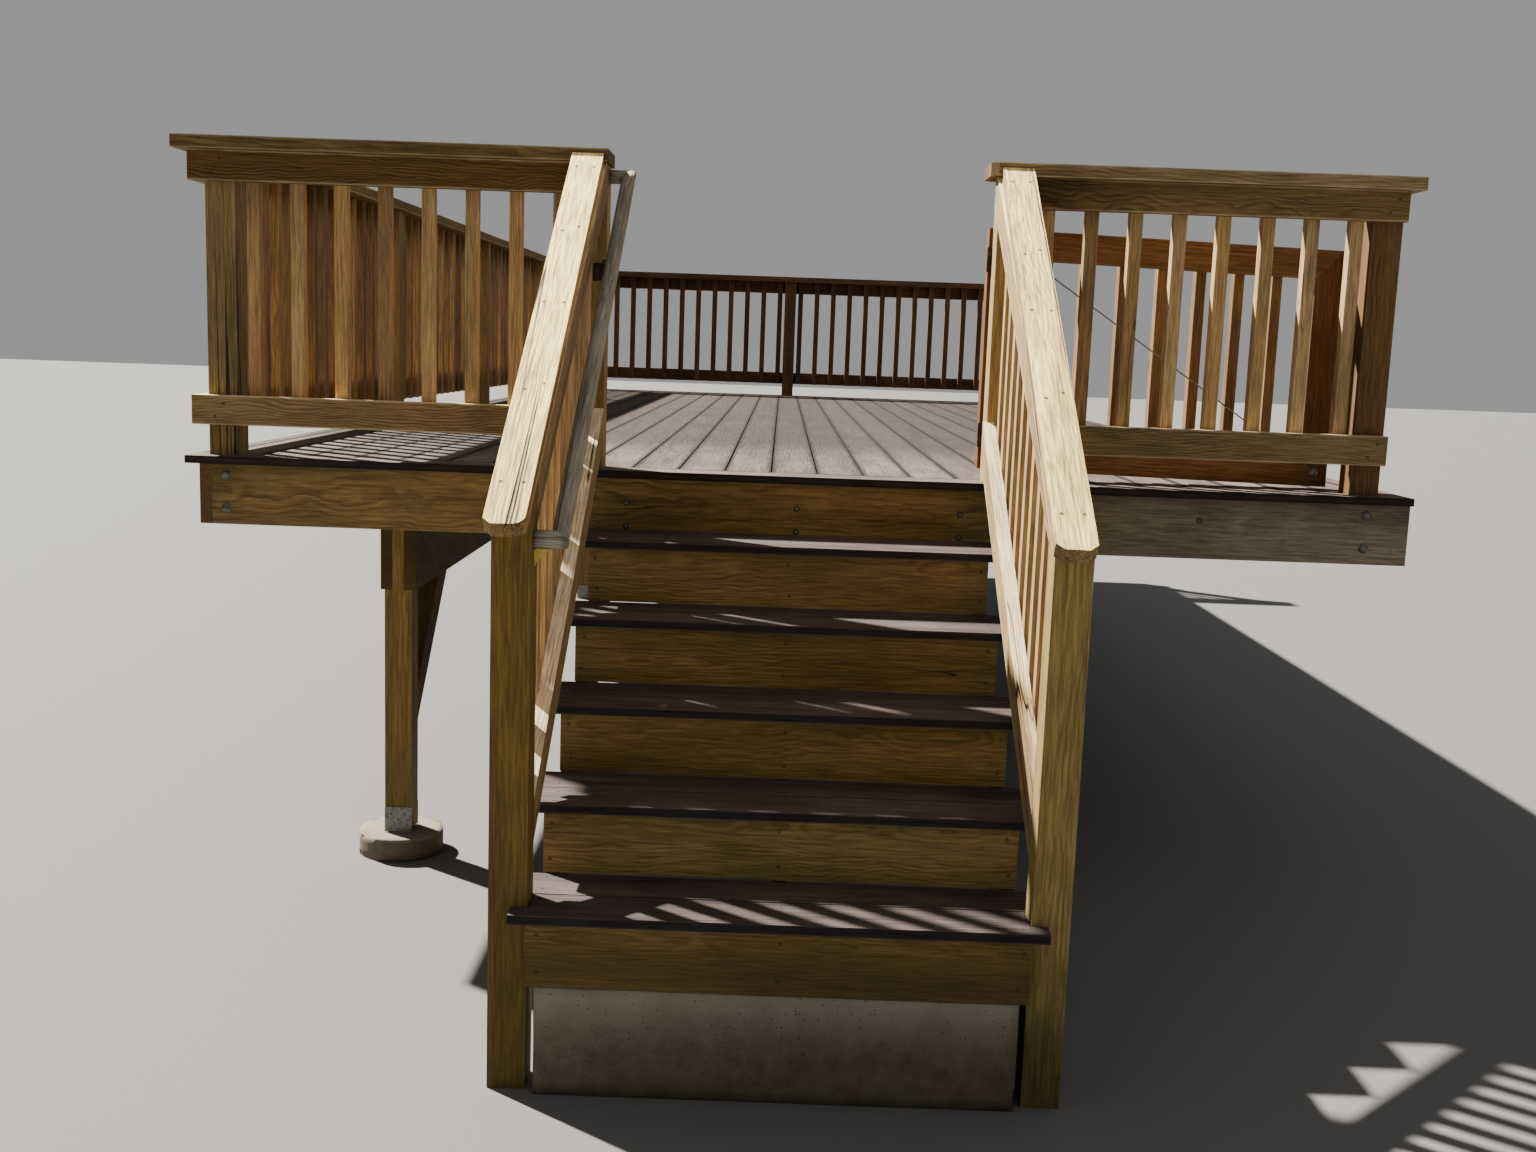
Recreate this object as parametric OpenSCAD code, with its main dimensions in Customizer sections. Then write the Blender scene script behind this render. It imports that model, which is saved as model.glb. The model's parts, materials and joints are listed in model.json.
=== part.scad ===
// Raised wooden deck with a straight flight of stairs at its front edge,
// railings on three sides, a swing gate at the head of the stairs and a
// ledger along the wall side. Millimetres, +Z up, +Y from the stairs into the
// deck. The origin is on the back face of the wall ledger, at its middle.

/* [Stairs] */
// Height from one step to the next
rise = 179; // [150:1:195]
// Depth from one riser face to the next
going = 263; // [240:1:300]
// How far a nosing stands out past the riser below it
nosing = 26; // [10:1:35]
// How far the tread boards run past the clear width at each side
tread_over = 36.5; // [10:0.5:60]
// Thickness of the riser boards
riser_t = 19; // [15:1:25]
// Gap between the two boards of a tread
tread_gap = 5; // [2:1:8]
// Number of cut stringers
stringer_n = 3; // [2:1:5]
// Width of the boards that the stringers are cut from
stringer_w = 286; // [260:1:320]
// How far the lower newels stand back from the bottom riser's face
newel_back = 25; // [10:1:40]
// Clear width between the newels
clear_w = 1146; // [1000:1:1400]
// How far the right upper newel stands further out than the lower one
head_out = 12; // [0:1:20]

/* [Deck] */
// Distance from the middle of the stairs to the deck's free side
free_side = 1788; // [1600:1:2400]
// Distance from the middle of the stairs to the wall
wall_side = 1868; // [1600:1:2400]
// Depth of the deck from its front rim to its back rim
deck_d = 7925; // [5000:5:9000]
// Drop of the ground from the foot of the stairs to the lowest pier
ground_drop = 260; // [120:1:400]
// Width of the deck boards and tread boards
board_w = 139; // [120:1:145]
// Thickness of the deck boards and tread boards
board_t = 23; // [20:1:30]
// Gap between deck boards
board_gap = 4; // [3:1:8]
// Middle of a gap between two deck boards, from the middle of the stairs
seam_x = 226; // [0:1:300]
// Overhang of the boards at the free side
side_lip = 35; // [20:1:50]
// Largest spacing of the joists
joist_pitch = 406; // [300:1:610]

/* [Lumber] */
// Thickness of the framing lumber
lum_t = 38; // [32:1:45]
// Depth of rims, joists and ledger
rim_h = 184; // [160:1:240]
// Depth of the two beam plies
beam_h = 235; // [184:1:286]
// Side of the posts and newels
post_w = 89; // [80:1:100]
// Width of rails
rail_h = 89; // [70:1:120]

/* [Railing] */
// Height of the cap's top above the deck
rail_top = 937; // [860:1:1100]
// Height of the bottom rail's top edge above the deck
low_rail = 182; // [150:1:230]
// Width of the level cap boards
cap_w = 184; // [170:1:210]
// Overhang of the level cap past the rails
cap_lip = 32; // [15:1:45]
// Overhang of the level cap past its ends
cap_end = 37; // [15:1:45]
// Width of the sloped cap boards
slope_cap_w = 92; // [85:1:110]
// Overhang of the level caps past the upper newels at the gate, left
cap_over_l = 7; // [2:1:30]
// Overhang of the level caps past the upper newels at the gate, right
cap_over_r = 22; // [2:1:30]
// Fall of the sloped cap below the level cap where they meet
cap_fall = 15; // [5:1:40]
// How far the left sloped cap runs past the lower newel
cap_nose_l = 106; // [20:1:140]
// How far the right sloped cap runs past the lower newel
cap_nose_r = 121; // [20:1:140]
// How far the left sloped cap's head stands out from the newel's middle
cap_out_l = 7; // [0:1:12]
// How far the right sloped cap's foot stands in from the newel's middle
cap_in_r = 18; // [0:1:24]
// Radius of the left sloped cap's rounded corner at its foot
cap_round = 29; // [15:1:40]
// Size of the clipped corners at the foot of the sloped caps
cap_clip = 18; // [10:1:30]
// Side of the balusters
bal_w = 38; // [30:1:45]
// Pitch of the level balusters
bal_pitch = 130.5; // [100:0.5:140]
// Pitch of the stair balusters, measured level
stair_bal_pitch = 112; // [95:1:130]
// Shift of the balusters right of the gate
bal_shift = 14; // [0:1:25]
// Largest spacing of railing posts along the free side
post_bay = 2000; // [1500:10:2400]
// Depth of the notch that sets free side posts over the band
post_notch = 20; // [10:1:30]
// Distance of the last post from the wall
end_post_in = 86; // [60:1:200]

/* [Handrail] */
// Diameter of the handrail
grip_d = 42; // [34:1:50]
// Distance of its axis from the newel's inner face
grip_off = 57; // [50:1:75]
// Height of its lower return above the deck boards' top, negative is below
grip_z0 = -56; // [-120:1:20]
// Height of its upper return
grip_z1 = 868; // [800:1:890]

/* [Gate] */
// How far the gate stands open
gate_open = 176; // [120:1:178]
// Thickness of the gate's frame boards
gate_t = 38; // [30:1:45]
// Width of the gate's frame boards
gate_w = 89; // [70:1:110]
// Height of the gate's top above the deck
gate_top = 763; // [650:1:850]
// Gap under the gate at its hinge side
gate_gap = 33; // [32:1:60]
// How far the gate has sagged at its free end
gate_sag = 26; // [0:1:26]
// Gap at the hinge side
hinge_gap = 6; // [6:1:12]
// Gap at the free side
free_gap = 39; // [20:1:60]
// Side of the gate's balusters
gate_bal = 32; // [25:1:38]
// Number of balusters in the gate
gate_bal_n = 7; // [6:1:9]
// Height of a hinge
hinge_h = 71; // [60:1:110]
// Distance of the lower hinge from the gate's bottom
hinge_lo = 67; // [40:1:140]
// Distance of the upper hinge from the gate's top
hinge_hi = 61; // [30:1:140]
// Radius of a hinge knuckle
knuckle_r = 7; // [6:0.5:9]
// Diameter of the hinge pins
pin_d = 7; // [5:0.5:8]
// Thickness of a hinge leaf
leaf_t = 3; // [2:0.5:4]
// Diameter of the brace cable
cable_d = 5; // [3:0.5:6]

/* [Supports] */
// Distance of the beam's middle from the middle of the stairs
beam_x = 1262; // [900:1:1500]
// Distance of the beam's ends from the rims' outer faces
beam_in = 305; // [200:1:600]
// Largest spacing of the posts under the beam
beam_bay = 2500; // [1800:10:3000]
// Diameter of the concrete piers
pier_d = 278; // [240:1:320]
// Height of the piers above the ground
pier_h = 76; // [60:1:110]
// Reach of the knee braces along the beam
knee_reach = 450; // [300:5:600]

/* [Hidden] */
tread_len = clear_w + 2 * tread_over;
run_n = 6;
fit = 0.3;
run_fit = 0.1;
step_h = run_n * rise;
foot_z = ground_drop;
deck_z = foot_z + step_h;
rim_top = deck_z - board_t;
rim_bot = rim_top - rim_h;
slope = rise / going;
tilt = atan(slope);
newel_x = clear_w / 2;
low_newel_y = -(run_n - 1) * going + newel_back;
post_y = lum_t;
cap_z = deck_z + rail_top - lum_t;
low_z = deck_z + low_rail - rail_h;
pitch_b = board_w + board_gap;
cap_v = lum_t / cos(tilt);
rail_v = rail_h / cos(tilt);
grip_y0 = low_newel_y + post_w / 2;
grip_y1 = post_y + post_w / 2;
hang_x = newel_x + head_out;
hinge_x = hang_x - knuckle_r;
hinge_y = post_y + post_w + knuckle_r + 2;
leaf_x = hinge_x - knuckle_r - 1;
gate_len = clear_w + head_out - hinge_gap - free_gap;
gate_h = gate_top - gate_gap;
pier_top = pier_h;
end_post_x = wall_side - end_post_in - post_w;
side_n = ceil((deck_d - 2 * lum_t - post_w) / post_bay);
side_step = (deck_d - 2 * lum_t - post_w) / side_n;
beam_n = ceil((deck_d - 2 * beam_in - post_w) / beam_bay);
beam_step = (deck_d - 2 * beam_in - post_w) / beam_n;
beam_ys = [for (i = [0 : beam_n]) beam_in + i * beam_step];
left_x = -free_side + lum_t;
post_out = left_x - post_notch;
rail_out = post_out - lum_t;
seat = 0.2;
joist_n = ceil((deck_d - 2 * lum_t) / joist_pitch) - 1;
joist_step = (deck_d - lum_t) / (joist_n + 1);
ledger_bolt_d = 13;
ledger_bolt_dz = 100;
ledger_bolt_y = [for (i = [0 : joist_n]) (i + 0.5) * joist_step + lum_t / 2];
origin = [wall_side, deck_d / 2, rim_bot + rim_h / 2];
// plan corners [x, y] of every railing post that passes through the boards
// a post in between stands against the nearest joist
side_posts = [for (i = [0 : side_n]) [post_out, i == 0 ? lum_t
    : i == side_n ? deck_d - lum_t - post_w
    : round(i * side_step / joist_step) * joist_step + lum_t]];
back_mid_x = (post_out + end_post_x) / 2;
back_posts = [[back_mid_x, deck_d - lum_t - post_w], [end_post_x, deck_d - lum_t - post_w]];
newels_up = [[-newel_x - post_w, post_y], [hang_x, post_y]];
all_posts = concat(side_posts, back_posts, newels_up, [[end_post_x, post_y]]);
wood = "peru";

// top of the sloped cap at a given y
function cap_line(y) = deck_z + rail_top - cap_fall + (y + cap_lip) * slope;
// top of the sloped bottom rail at a given y
function low_line(y) = deck_z + low_rail + (y - post_y) * slope;

module place() {
    translate(-origin) children();
}

// a board from one corner with its size
module board(at, size) {
    translate(at) cube(size);
}

// a prism between two heights that may slope with y, at x from x0 to x1
module slant(x0, x1, y0, y1, a0, a1, b0, b1) {
    translate([x0, 0, 0])
        rotate([90, 0, 90])
            linear_extrude(x1 - x0)
                polygon([[y0, a0], [y1, a1], [y1, b1], [y0, b0]]);
}

module both_sides() {
    children();
    mirror([1, 0, 0]) children();
}

module end_rims() {
    color(wood) place() {
        board([left_x, 0, rim_bot], [wall_side - left_x, lum_t, rim_h]);
        board([left_x, deck_d - lum_t, rim_bot], [wall_side - left_x, lum_t, rim_h]);
    }
}

module side_band() {
    color(wood) place()
        board([-free_side, 0, rim_bot], [lum_t, deck_d, rim_h]);
}

module house_ledger() {
    color(wood) place()
        difference() {
            board([wall_side - lum_t, lum_t, rim_bot], [lum_t, deck_d - 2 * lum_t, rim_h]);
            for (y = ledger_bolt_y, z = [-1, 1])
                translate([wall_side - lum_t - 1, y, rim_bot + rim_h / 2 + z * ledger_bolt_dz / 2])
                    rotate([0, 90, 0]) cylinder(d = ledger_bolt_d, h = lum_t + 2, $fn = 32);
        }
}

module joists() {
    color(wood) place()
        for (i = [1 : joist_n])
            board([left_x, i * joist_step, rim_bot],
                [wall_side - lum_t - left_x, lum_t, rim_h]);
}

header_drop = 60;
header_bot = rim_top - header_drop - stringer_w;

module stair_header() {
    color(wood) place()
        board([-newel_x, lum_t, header_bot], [newel_x + hang_x, lum_t, stringer_w]);
}

module beam_plies() {
    color(wood) place()
        for (s = [-1, 1])
            board([-beam_x - lum_t / 2 + s * lum_t, beam_in, rim_bot - beam_h],
                [lum_t, deck_d - 2 * beam_in, beam_h]);
}

post_foot = pier_top + 10;
beam_bot = rim_bot - beam_h;

module beam_posts() {
    color(wood) place()
        for (y = beam_ys) {
            board([-beam_x - post_w / 2, y, post_foot], [post_w, post_w, beam_bot - post_foot]);
            board([-beam_x - lum_t / 2, y, beam_bot - 1], [lum_t, post_w, beam_h + 1]);
        }
}

knee_t = post_w;

// a knee brace from a post's face up to the beam, dir is +1 or -1 along y
module knee(y, dir) {
    drop = knee_reach;
    translate([-beam_x - knee_t / 2, y, beam_bot])
        scale([1, dir, 1])
            rotate([90, 0, 90])
                linear_extrude(knee_t)
                    polygon([[0, -drop], [knee_reach, 0],
                        [knee_reach - post_w * sqrt(2), 0], [0, -drop + post_w * sqrt(2)]]);
}

module knee_braces() {
    color(wood) place() {
        for (i = [0 : beam_n - 1]) knee(beam_ys[i] + post_w, 1);
        for (i = [1 : beam_n]) knee(beam_ys[i], -1);
    }
}

base_t = 3;
base_h = 84;

// a standoff post base: plate, two cheeks and a front flange
module post_base(y) {
    translate([-beam_x, y + post_w / 2, pier_top]) {
        translate([-post_w / 2, -post_w / 2, 10 - base_t]) cube([post_w, post_w, base_t]);
        translate([-post_w / 2, -post_w / 2 - base_t, 0])
            cube([post_w, base_t, base_h]);
        translate([-post_w / 2, post_w / 2, 0])
            cube([post_w, base_t, base_h]);
    }
}

module post_bases() {
    color("silver") place()
        for (y = beam_ys) post_base(y);
}

module piers() {
    color("gainsboro") place()
        for (y = beam_ys)
            translate([-beam_x, y + post_w / 2, 0])
                cylinder(d = pier_d, h = pier_h, $fn = 64);
}

foot_d = 320;

module stair_footing() {
    color("gainsboro") place()
        board([-newel_x + 20, -(run_n - 1) * going, 0],
            [clear_w - 40, foot_d, foot_z]);
}

// seams of the field boards across the deck
field_x0 = -free_side - side_lip;
seam_lo = ceil((field_x0 - seam_x) / pitch_b + 0.2);
seam_hi = floor((wall_side - seam_x) / pitch_b - 0.2);
border_y = -nosing + board_w;
seams = [for (k = [seam_lo : seam_hi]) seam_x + k * pitch_b];
field_l = concat([field_x0], [for (s = seams) s + board_gap / 2]);
field_r = concat([for (s = seams) s - board_gap / 2], [wall_side]);
post_clear = 3;

// clear holes where railing posts pass through boards between x0 and x1
module post_holes(x0, x1) {
    for (p = all_posts)
        if (p[0] - post_clear < x1 && p[0] + post_w + post_clear > x0)
            board([p[0] - post_clear, p[1] - post_clear, rim_top - 1],
                [post_w + 2 * post_clear, post_w + 2 * post_clear, board_t + 2]);
}

module deck_boards() {
    color("rosybrown") place()
        for (i = [0 : len(field_l) - 1])
            difference() {
                board([field_l[i], border_y + board_gap, rim_top],
                    [field_r[i] - field_l[i],
                        deck_d - 2 * (border_y + board_gap), board_t]);
                post_holes(field_l[i], field_r[i]);
            }
}

module deck_borders() {
    color("rosybrown") place()
        difference() {
            for (y = [-nosing, deck_d + nosing - board_w])
                board([field_x0, y, rim_top], [wall_side - field_x0, board_w, board_t]);
            post_holes(field_x0, wall_side);
        }
}

string_v = stringer_w / cos(tilt);

string_back = deck_z - rise - board_t + (going - riser_t + lum_t) * slope - string_v;
string_heel = lum_t + (foot_z - string_back) / slope;

module stringer(x) {
    body = [for (k = [run_n - 1 : -1 : 1])
        each [[-k * going + riser_t, k == run_n - 1 ? foot_z : deck_z - (k + 1) * rise - board_t],
            [-k * going + riser_t, deck_z - k * rise - board_t]]];
    translate([x, 0, 0])
        rotate([90, 0, 90])
            linear_extrude(lum_t)
                polygon(concat(body,
                    [[0, deck_z - rise - board_t], [0, rim_bot - 1], [lum_t, rim_bot - 1],
                        [lum_t, string_back], [string_heel, foot_z]]));
}

module stringers() {
    color(wood) place()
        for (i = [0 : stringer_n - 1])
            stringer(-newel_x + i * (clear_w - lum_t) / (stringer_n - 1));
}

module risers() {
    color(wood) place()
        for (k = [1 : run_n - 1])
            board([-newel_x, -k * going, deck_z - (k + 1) * rise],
                [clear_w, riser_t, rise - board_t]);
}

module treads() {
    color("rosybrown") place()
        for (k = [1 : run_n - 1], j = [0, 1])
            if (k < run_n - 1 || j == 1)
                board([-tread_len / 2, -k * going - nosing + j * (board_w + tread_gap),
                    deck_z - k * rise - board_t], [tread_len, board_w, board_t]);
}

module bottom_tread() {
    k = run_n - 1;
    color("rosybrown") place()
        difference() {
            board([-tread_len / 2, -k * going - nosing, deck_z - k * rise - board_t],
                [tread_len, board_w, board_t]);
            both_sides()
                board([newel_x - post_clear, low_newel_y - post_clear,
                    deck_z - k * rise - board_t - 1],
                    [post_w + 2 * post_clear, board_w + 10, board_t + 2]);
        }
}

module lower_newels() {
    y0 = low_newel_y;
    y1 = low_newel_y + post_w;
    color(wood) place() both_sides()
        slant(newel_x, newel_x + post_w, y0, y1, 0, 0,
            cap_line(y0) - cap_v - seat, cap_line(y1) - cap_v - seat);
}

module upper_newels() {
    color(wood) place()
        for (p = newels_up)
            board([p[0], p[1], rim_bot], [post_w, post_w, cap_z - rim_bot]);
}

module rail_posts() {
    color(wood) place()
        for (p = concat(side_posts, back_posts, [[end_post_x, post_y]])) {
            x0 = max(p[0], left_x);
            board([x0, p[1], rim_bot], [p[0] + post_w - x0, post_w, rim_h]);
            board([p[0], p[1], rim_top], [post_w, post_w, cap_z - rim_top]);
        }
}

cap_spare = 40;
cap_mid = newel_x + post_w / 2;

// outline of a sloped cap of length l, its foot clipped, or rounded at one corner by r
function cap_plan(l, r) = concat(
    [[-slope_cap_w / 2, 0], [-slope_cap_w / 2, cap_clip - l], [cap_clip - slope_cap_w / 2, -l]],
    r > 0
        ? [for (a = [-90 : 18 : 0]) [slope_cap_w / 2 - r + r * cos(a), -l + r + r * sin(a)]]
        : [[slope_cap_w / 2 - cap_clip, -l], [slope_cap_w / 2, cap_clip - l]],
    [[slope_cap_w / 2, 0]]);

// one sloped cap from its head's middle to its foot's, plumb where it meets the level cap
module stair_cap(head, foot, nose, r) {
    l = (-cap_lip - low_newel_y + nose) / cos(tilt) + cap_spare;
    difference() {
        translate([head, -cap_lip + cap_spare * cos(tilt), cap_line(-cap_lip) + cap_spare * sin(tilt)])
            rotate([tilt, 0, 0])
                rotate([0, 0, asin((foot - head) / l)])
                    translate([0, 0, -lum_t])
                        linear_extrude(lum_t) polygon(cap_plan(l, r));
        board([head - slope_cap_w, -cap_lip, cap_z - 300], [2 * slope_cap_w, 200, 600]);
    }
}

module stair_caps() {
    color("burlywood") place() {
        stair_cap(-cap_mid - cap_out_l, -cap_mid, cap_nose_l, cap_round);
        stair_cap(cap_mid + head_out, cap_mid - cap_in_r, cap_nose_r, 0);
    }
}

module stair_rails() {
    y0 = low_newel_y + post_w;
    y1 = post_y;
    color(wood) place() both_sides() {
        difference() {
            slant(newel_x, newel_x + lum_t, y0, y1,
                cap_line(y0) - cap_v - rail_v, cap_line(y1) - cap_v - rail_v,
                cap_line(y0) - cap_v - seat, cap_line(y1) - cap_v - seat);
            board([newel_x - 1, -cap_lip, cap_z], [lum_t + 2, 200, 200]);
        }
        slant(newel_x, newel_x + lum_t, y0, y1,
            low_line(y0) - rail_v, low_line(y1) - rail_v, low_line(y0), low_line(y1));
    }
}

stair_gap_y = post_y - (low_newel_y + post_w);
stair_bal_n = floor((stair_gap_y - bal_w - 60) / stair_bal_pitch) + 1;
stair_bal_y0 = low_newel_y + post_w
    + (stair_gap_y - (stair_bal_n - 1) * stair_bal_pitch - bal_w) / 2;

module stair_balusters() {
    x0 = newel_x + lum_t;
    color(wood) place() both_sides()
        for (i = [0 : stair_bal_n - 1])
            let (y0 = stair_bal_y0 + i * stair_bal_pitch, y1 = y0 + bal_w)
                slant(x0, x0 + bal_w, y0, y1, low_line(y0) - rail_v, low_line(y1) - rail_v,
                    min(cap_line(y0) - cap_v - seat, cap_z),
                    min(cap_line(y1) - cap_v - seat, cap_z));
}

grip_x = -newel_x + grip_off;
grip_slope = (grip_z1 - grip_z0) / (grip_y1 - grip_y0);
grip_tilt = atan(grip_slope);
grip_len = (grip_y1 - grip_y0) / cos(grip_tilt);

// height of the handrail's axis at a given y
function grip_line(y) = deck_z + grip_z0 + (y - grip_y0) * grip_slope;

// the part of a round bar through p, along x or y, that lies inside a plan outline
module mitred_bar(p, turn, len, points) {
    w = grip_d / 2 + 1;
    intersection() {
        translate(p) rotate(turn) cylinder(d = grip_d, h = len, $fn = 48);
        translate([0, 0, -w]) linear_extrude(2 * w) polygon(points);
    }
}

// round rail with level returns to the newels, drawn flat and tilted
module handrail() {
    w = grip_d;
    l = grip_len;
    o = grip_off;
    color("gray") place()
        translate([grip_x, grip_y0, grip_line(grip_y0)])
            rotate([grip_tilt, 0, 0]) {
                mitred_bar([0, -w, 0], [-90, 0, 0], l + 2 * w,
                    [[-w, w], [w, -w], [w, l + w], [-w, l - w]]);
                mitred_bar([-o, 0, 0], [0, 90, 0], o + w, [[-o, -w], [w, -w], [-w, w], [-o, w]]);
                mitred_bar([-o, l, 0], [0, 90, 0], o + w,
                    [[-o, l - w], [-w, l - w], [w, l + w], [-o, l + w]]);
            }
}

hook_y = -270;
hook_w = 14;
hook_t = 5;
plate_w = 32;
plate_h = 50;
shelf = 40;

// a bracket under the rail near its upper end, and an angle under the lower return
module handrail_brackets() {
    z = grip_line(hook_y) - grip_d / 2 / cos(grip_tilt);
    a = grip_line(grip_y0) - grip_d / 2;
    color("dimgray") place() {
        board([-newel_x, hook_y - plate_w / 2, z - plate_h], [hook_t, plate_w, plate_h]);
        board([-newel_x + hook_t, hook_y - hook_w / 2, z - shelf],
            [grip_off - hook_t + hook_w / 2, hook_w, hook_t]);
        board([grip_x - hook_w / 2, hook_y - hook_w / 2, z - shelf + hook_t],
            [hook_w, hook_w, shelf - hook_t - hook_w / 2 * grip_slope + seat]);
        board([-newel_x, grip_y0 - hook_w / 2, a - shelf], [hook_t, hook_w, shelf]);
        board([-newel_x + hook_t, grip_y0 - hook_w / 2, a - hook_t], [shelf - hook_t, hook_w, hook_t]);
    }
}

cap_y0 = -cap_lip;
cap_y1 = -cap_lip + cap_w;

// a level cap board as a plan outline
module cap(points) {
    translate([0, 0, cap_z]) linear_extrude(lum_t) polygon(points);
}

cap_left = rail_out - cap_end;
cap_in = cap_left + cap_w;
cap_back0 = deck_d + cap_lip - cap_w;
cap_back1 = deck_d + cap_lip;
left_cap_end = -newel_x + cap_over_l;
right_cap_start = newel_x - cap_over_r;
right_cap_end = end_post_x + post_w + cap_end;
clip_c = cap_over_r - 1;

module front_caps() {
    color("burlywood") place() {
        cap([[cap_left, cap_y0], [left_cap_end, cap_y0], [left_cap_end, cap_y1], [cap_in, cap_y1]]);
        cap([[right_cap_start + clip_c, cap_y0], [right_cap_end - 8, cap_y0],
            [right_cap_end, cap_y0 + 8], [right_cap_end, cap_y1],
            [right_cap_start + clip_c, cap_y1], [right_cap_start, cap_y1 - clip_c],
            [right_cap_start, cap_y0 + clip_c]]);
    }
}

module side_cap() {
    color("burlywood") place()
        cap([[cap_left, cap_y0 + fit], [cap_in, cap_y1 + fit], [cap_in, cap_back0 - fit],
            [cap_left, cap_back1 - fit]]);
}

module back_cap() {
    color("sienna") place()
        cap([[cap_left, cap_back1], [cap_in, cap_back0], [right_cap_end, cap_back0],
            [right_cap_end, cap_back1]]);
}

rail_end_l = -newel_x - lum_t - 4;
rail_end_r = end_post_x + post_w;

module front_rails() {
    color(wood) place()
        for (z = [cap_z - rail_h, low_z]) {
            board([rail_out, 0, z], [rail_end_l - rail_out, lum_t, rail_h]);
            board([-rail_end_l, 0, z], [rail_end_r + rail_end_l, lum_t, rail_h]);
        }
}

module side_rails() {
    color(wood) place()
        for (z = [cap_z - rail_h, low_z])
            board([rail_out, lum_t, z], [lum_t, deck_d - 2 * lum_t, rail_h]);
}

module back_rails() {
    color("sienna") place()
        for (z = [cap_z - rail_h, low_z])
            board([rail_out, deck_d - lum_t, z], [rail_end_r - rail_out, lum_t, rail_h]);
}

// starts of balusters that fill a gap from a to b, in the middle of it
function fill(a, b, p) = let (n = floor((b - a - bal_w - 20) / p) + 1,
    s = (b - a - (n - 1) * p - bal_w) / 2) [for (i = [0 : n - 1]) a + s + i * p];

bal_z = low_z;
bal_len = cap_z - bal_z;

module front_balusters() {
    color(wood) place() {
        for (x = fill(post_out + post_w, -newel_x - post_w, bal_pitch))
            board([x, lum_t, bal_z], [bal_w, bal_w, bal_len]);
        for (x = fill(newel_x + post_w, end_post_x, bal_pitch))
            board([x + bal_shift, lum_t, bal_z], [bal_w, bal_w, bal_len]);
    }
}

module side_balusters() {
    color(wood) place()
        for (i = [0 : side_n - 1])
            for (y = fill(side_posts[i][1] + post_w, side_posts[i + 1][1], bal_pitch))
                board([post_out, y, bal_z], [bal_w, bal_w, bal_len]);
}

module back_balusters() {
    y = deck_d - lum_t - bal_w;
    color("sienna") place() {
        for (x = fill(post_out + post_w, back_mid_x, bal_pitch))
            board([x, y, bal_z], [bal_w, bal_w, bal_len]);
        for (x = fill(back_mid_x + post_w, end_post_x, bal_pitch))
            board([x, y, bal_z], [bal_w, bal_w, bal_len]);
    }
}

bolt_z = [rim_top - 34, rim_bot + 50];

// head of a carriage bolt on the rim's face
module bolt_head(x, z) {
    translate([x, 0, z]) rotate([90, 0, 0]) cylinder(d = 30, h = 2, $fn = 32);
    translate([x, -2, z]) rotate([90, 0, 0]) cylinder(d1 = 24, d2 = 14, h = 5, $fn = 32);
}

module carriage_bolts() {
    color("gray") place()
        for (x = [post_out + post_w * 0.7, -newel_x - post_w / 2, newel_x + post_w / 2,
            end_post_x + post_w / 2], z = bolt_z)
            bolt_head(x, z);
}

gx1 = hang_x - hinge_gap;
gx0 = gx1 - gate_len;
gy1 = post_y + post_w - fit;
gy0 = gy1 - gate_t;
gz0 = deck_z + gate_gap;
gz1 = deck_z + gate_top;
hinge_zs = [gz0 + hinge_lo, gz1 - hinge_hi - hinge_h];
third = hinge_h / 3;
leaf_w = 36;
leaf_in = 32;

module hinge_newel_leaves() {
    color("black") place()
        for (z = hinge_zs) {
            board([hang_x + 1, post_y + post_w, z], [leaf_w, leaf_t, hinge_h]);
            for (k = [0, 2])
                difference() {
                    union() {
                        translate([hinge_x, hinge_y, z + k * third])
                            cylinder(r = knuckle_r, h = third - (k == 0 ? 0.5 : 0), $fn = 32);
                        board([hinge_x, post_y + post_w, z + k * third],
                            [hang_x + 2 - hinge_x, leaf_t, third - (k == 0 ? 0.5 : 0)]);
                    }
                    translate([hinge_x, hinge_y, z - 1])
                        cylinder(d = pin_d, h = hinge_h + 2, $fn = 32);
                }
        }
}

module hinge_pins() {
    color("black") place()
        for (z = hinge_zs) {
            translate([hinge_x, hinge_y, z]) cylinder(d = pin_d, h = hinge_h, $fn = 32);
            translate([hinge_x, hinge_y, z + hinge_h])
                cylinder(d = pin_d + 4, h = 3, $fn = 32);
        }
}

// the gate is drawn shut and swung to where it stands open
module swing() {
    translate([hinge_x, hinge_y, 0])
        rotate([0, 0, -gate_open])
            translate([-hinge_x, -hinge_y, 0])
                children();
}

// how far the sagged gate has dropped at a given x
function dip(x) = gate_sag * (gx1 - x) / gate_len;

// a mitred frame board from its outline [x, z] before the sag
module gate_board(points) {
    translate([0, gy1, 0])
        rotate([90, 0, 0])
            linear_extrude(gate_t)
                polygon([for (p = points) [p[0], p[1] - dip(p[0])]]);
}

ix0 = gx0 + gate_w;
ix1 = gx1 - gate_w;
iz0 = gz0 + gate_w;
iz1 = gz1 - gate_w;

module gate_rails() {
    color("chocolate") place() swing() {
        gate_board([[gx0, gz0], [gx1, gz0], [ix1, iz0], [ix0, iz0]]);
        gate_board([[gx0, gz1], [gx1, gz1], [ix1, iz1], [ix0, iz1]]);
    }
}

module gate_stiles() {
    color("chocolate") place() swing() {
        gate_board([[gx0, gz0], [ix0, iz0], [ix0, iz1], [gx0, gz1]]);
        gate_board([[gx1, gz0], [ix1, iz0], [ix1, iz1], [gx1, gz1]]);
    }
}

bal_in = 12;

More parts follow.
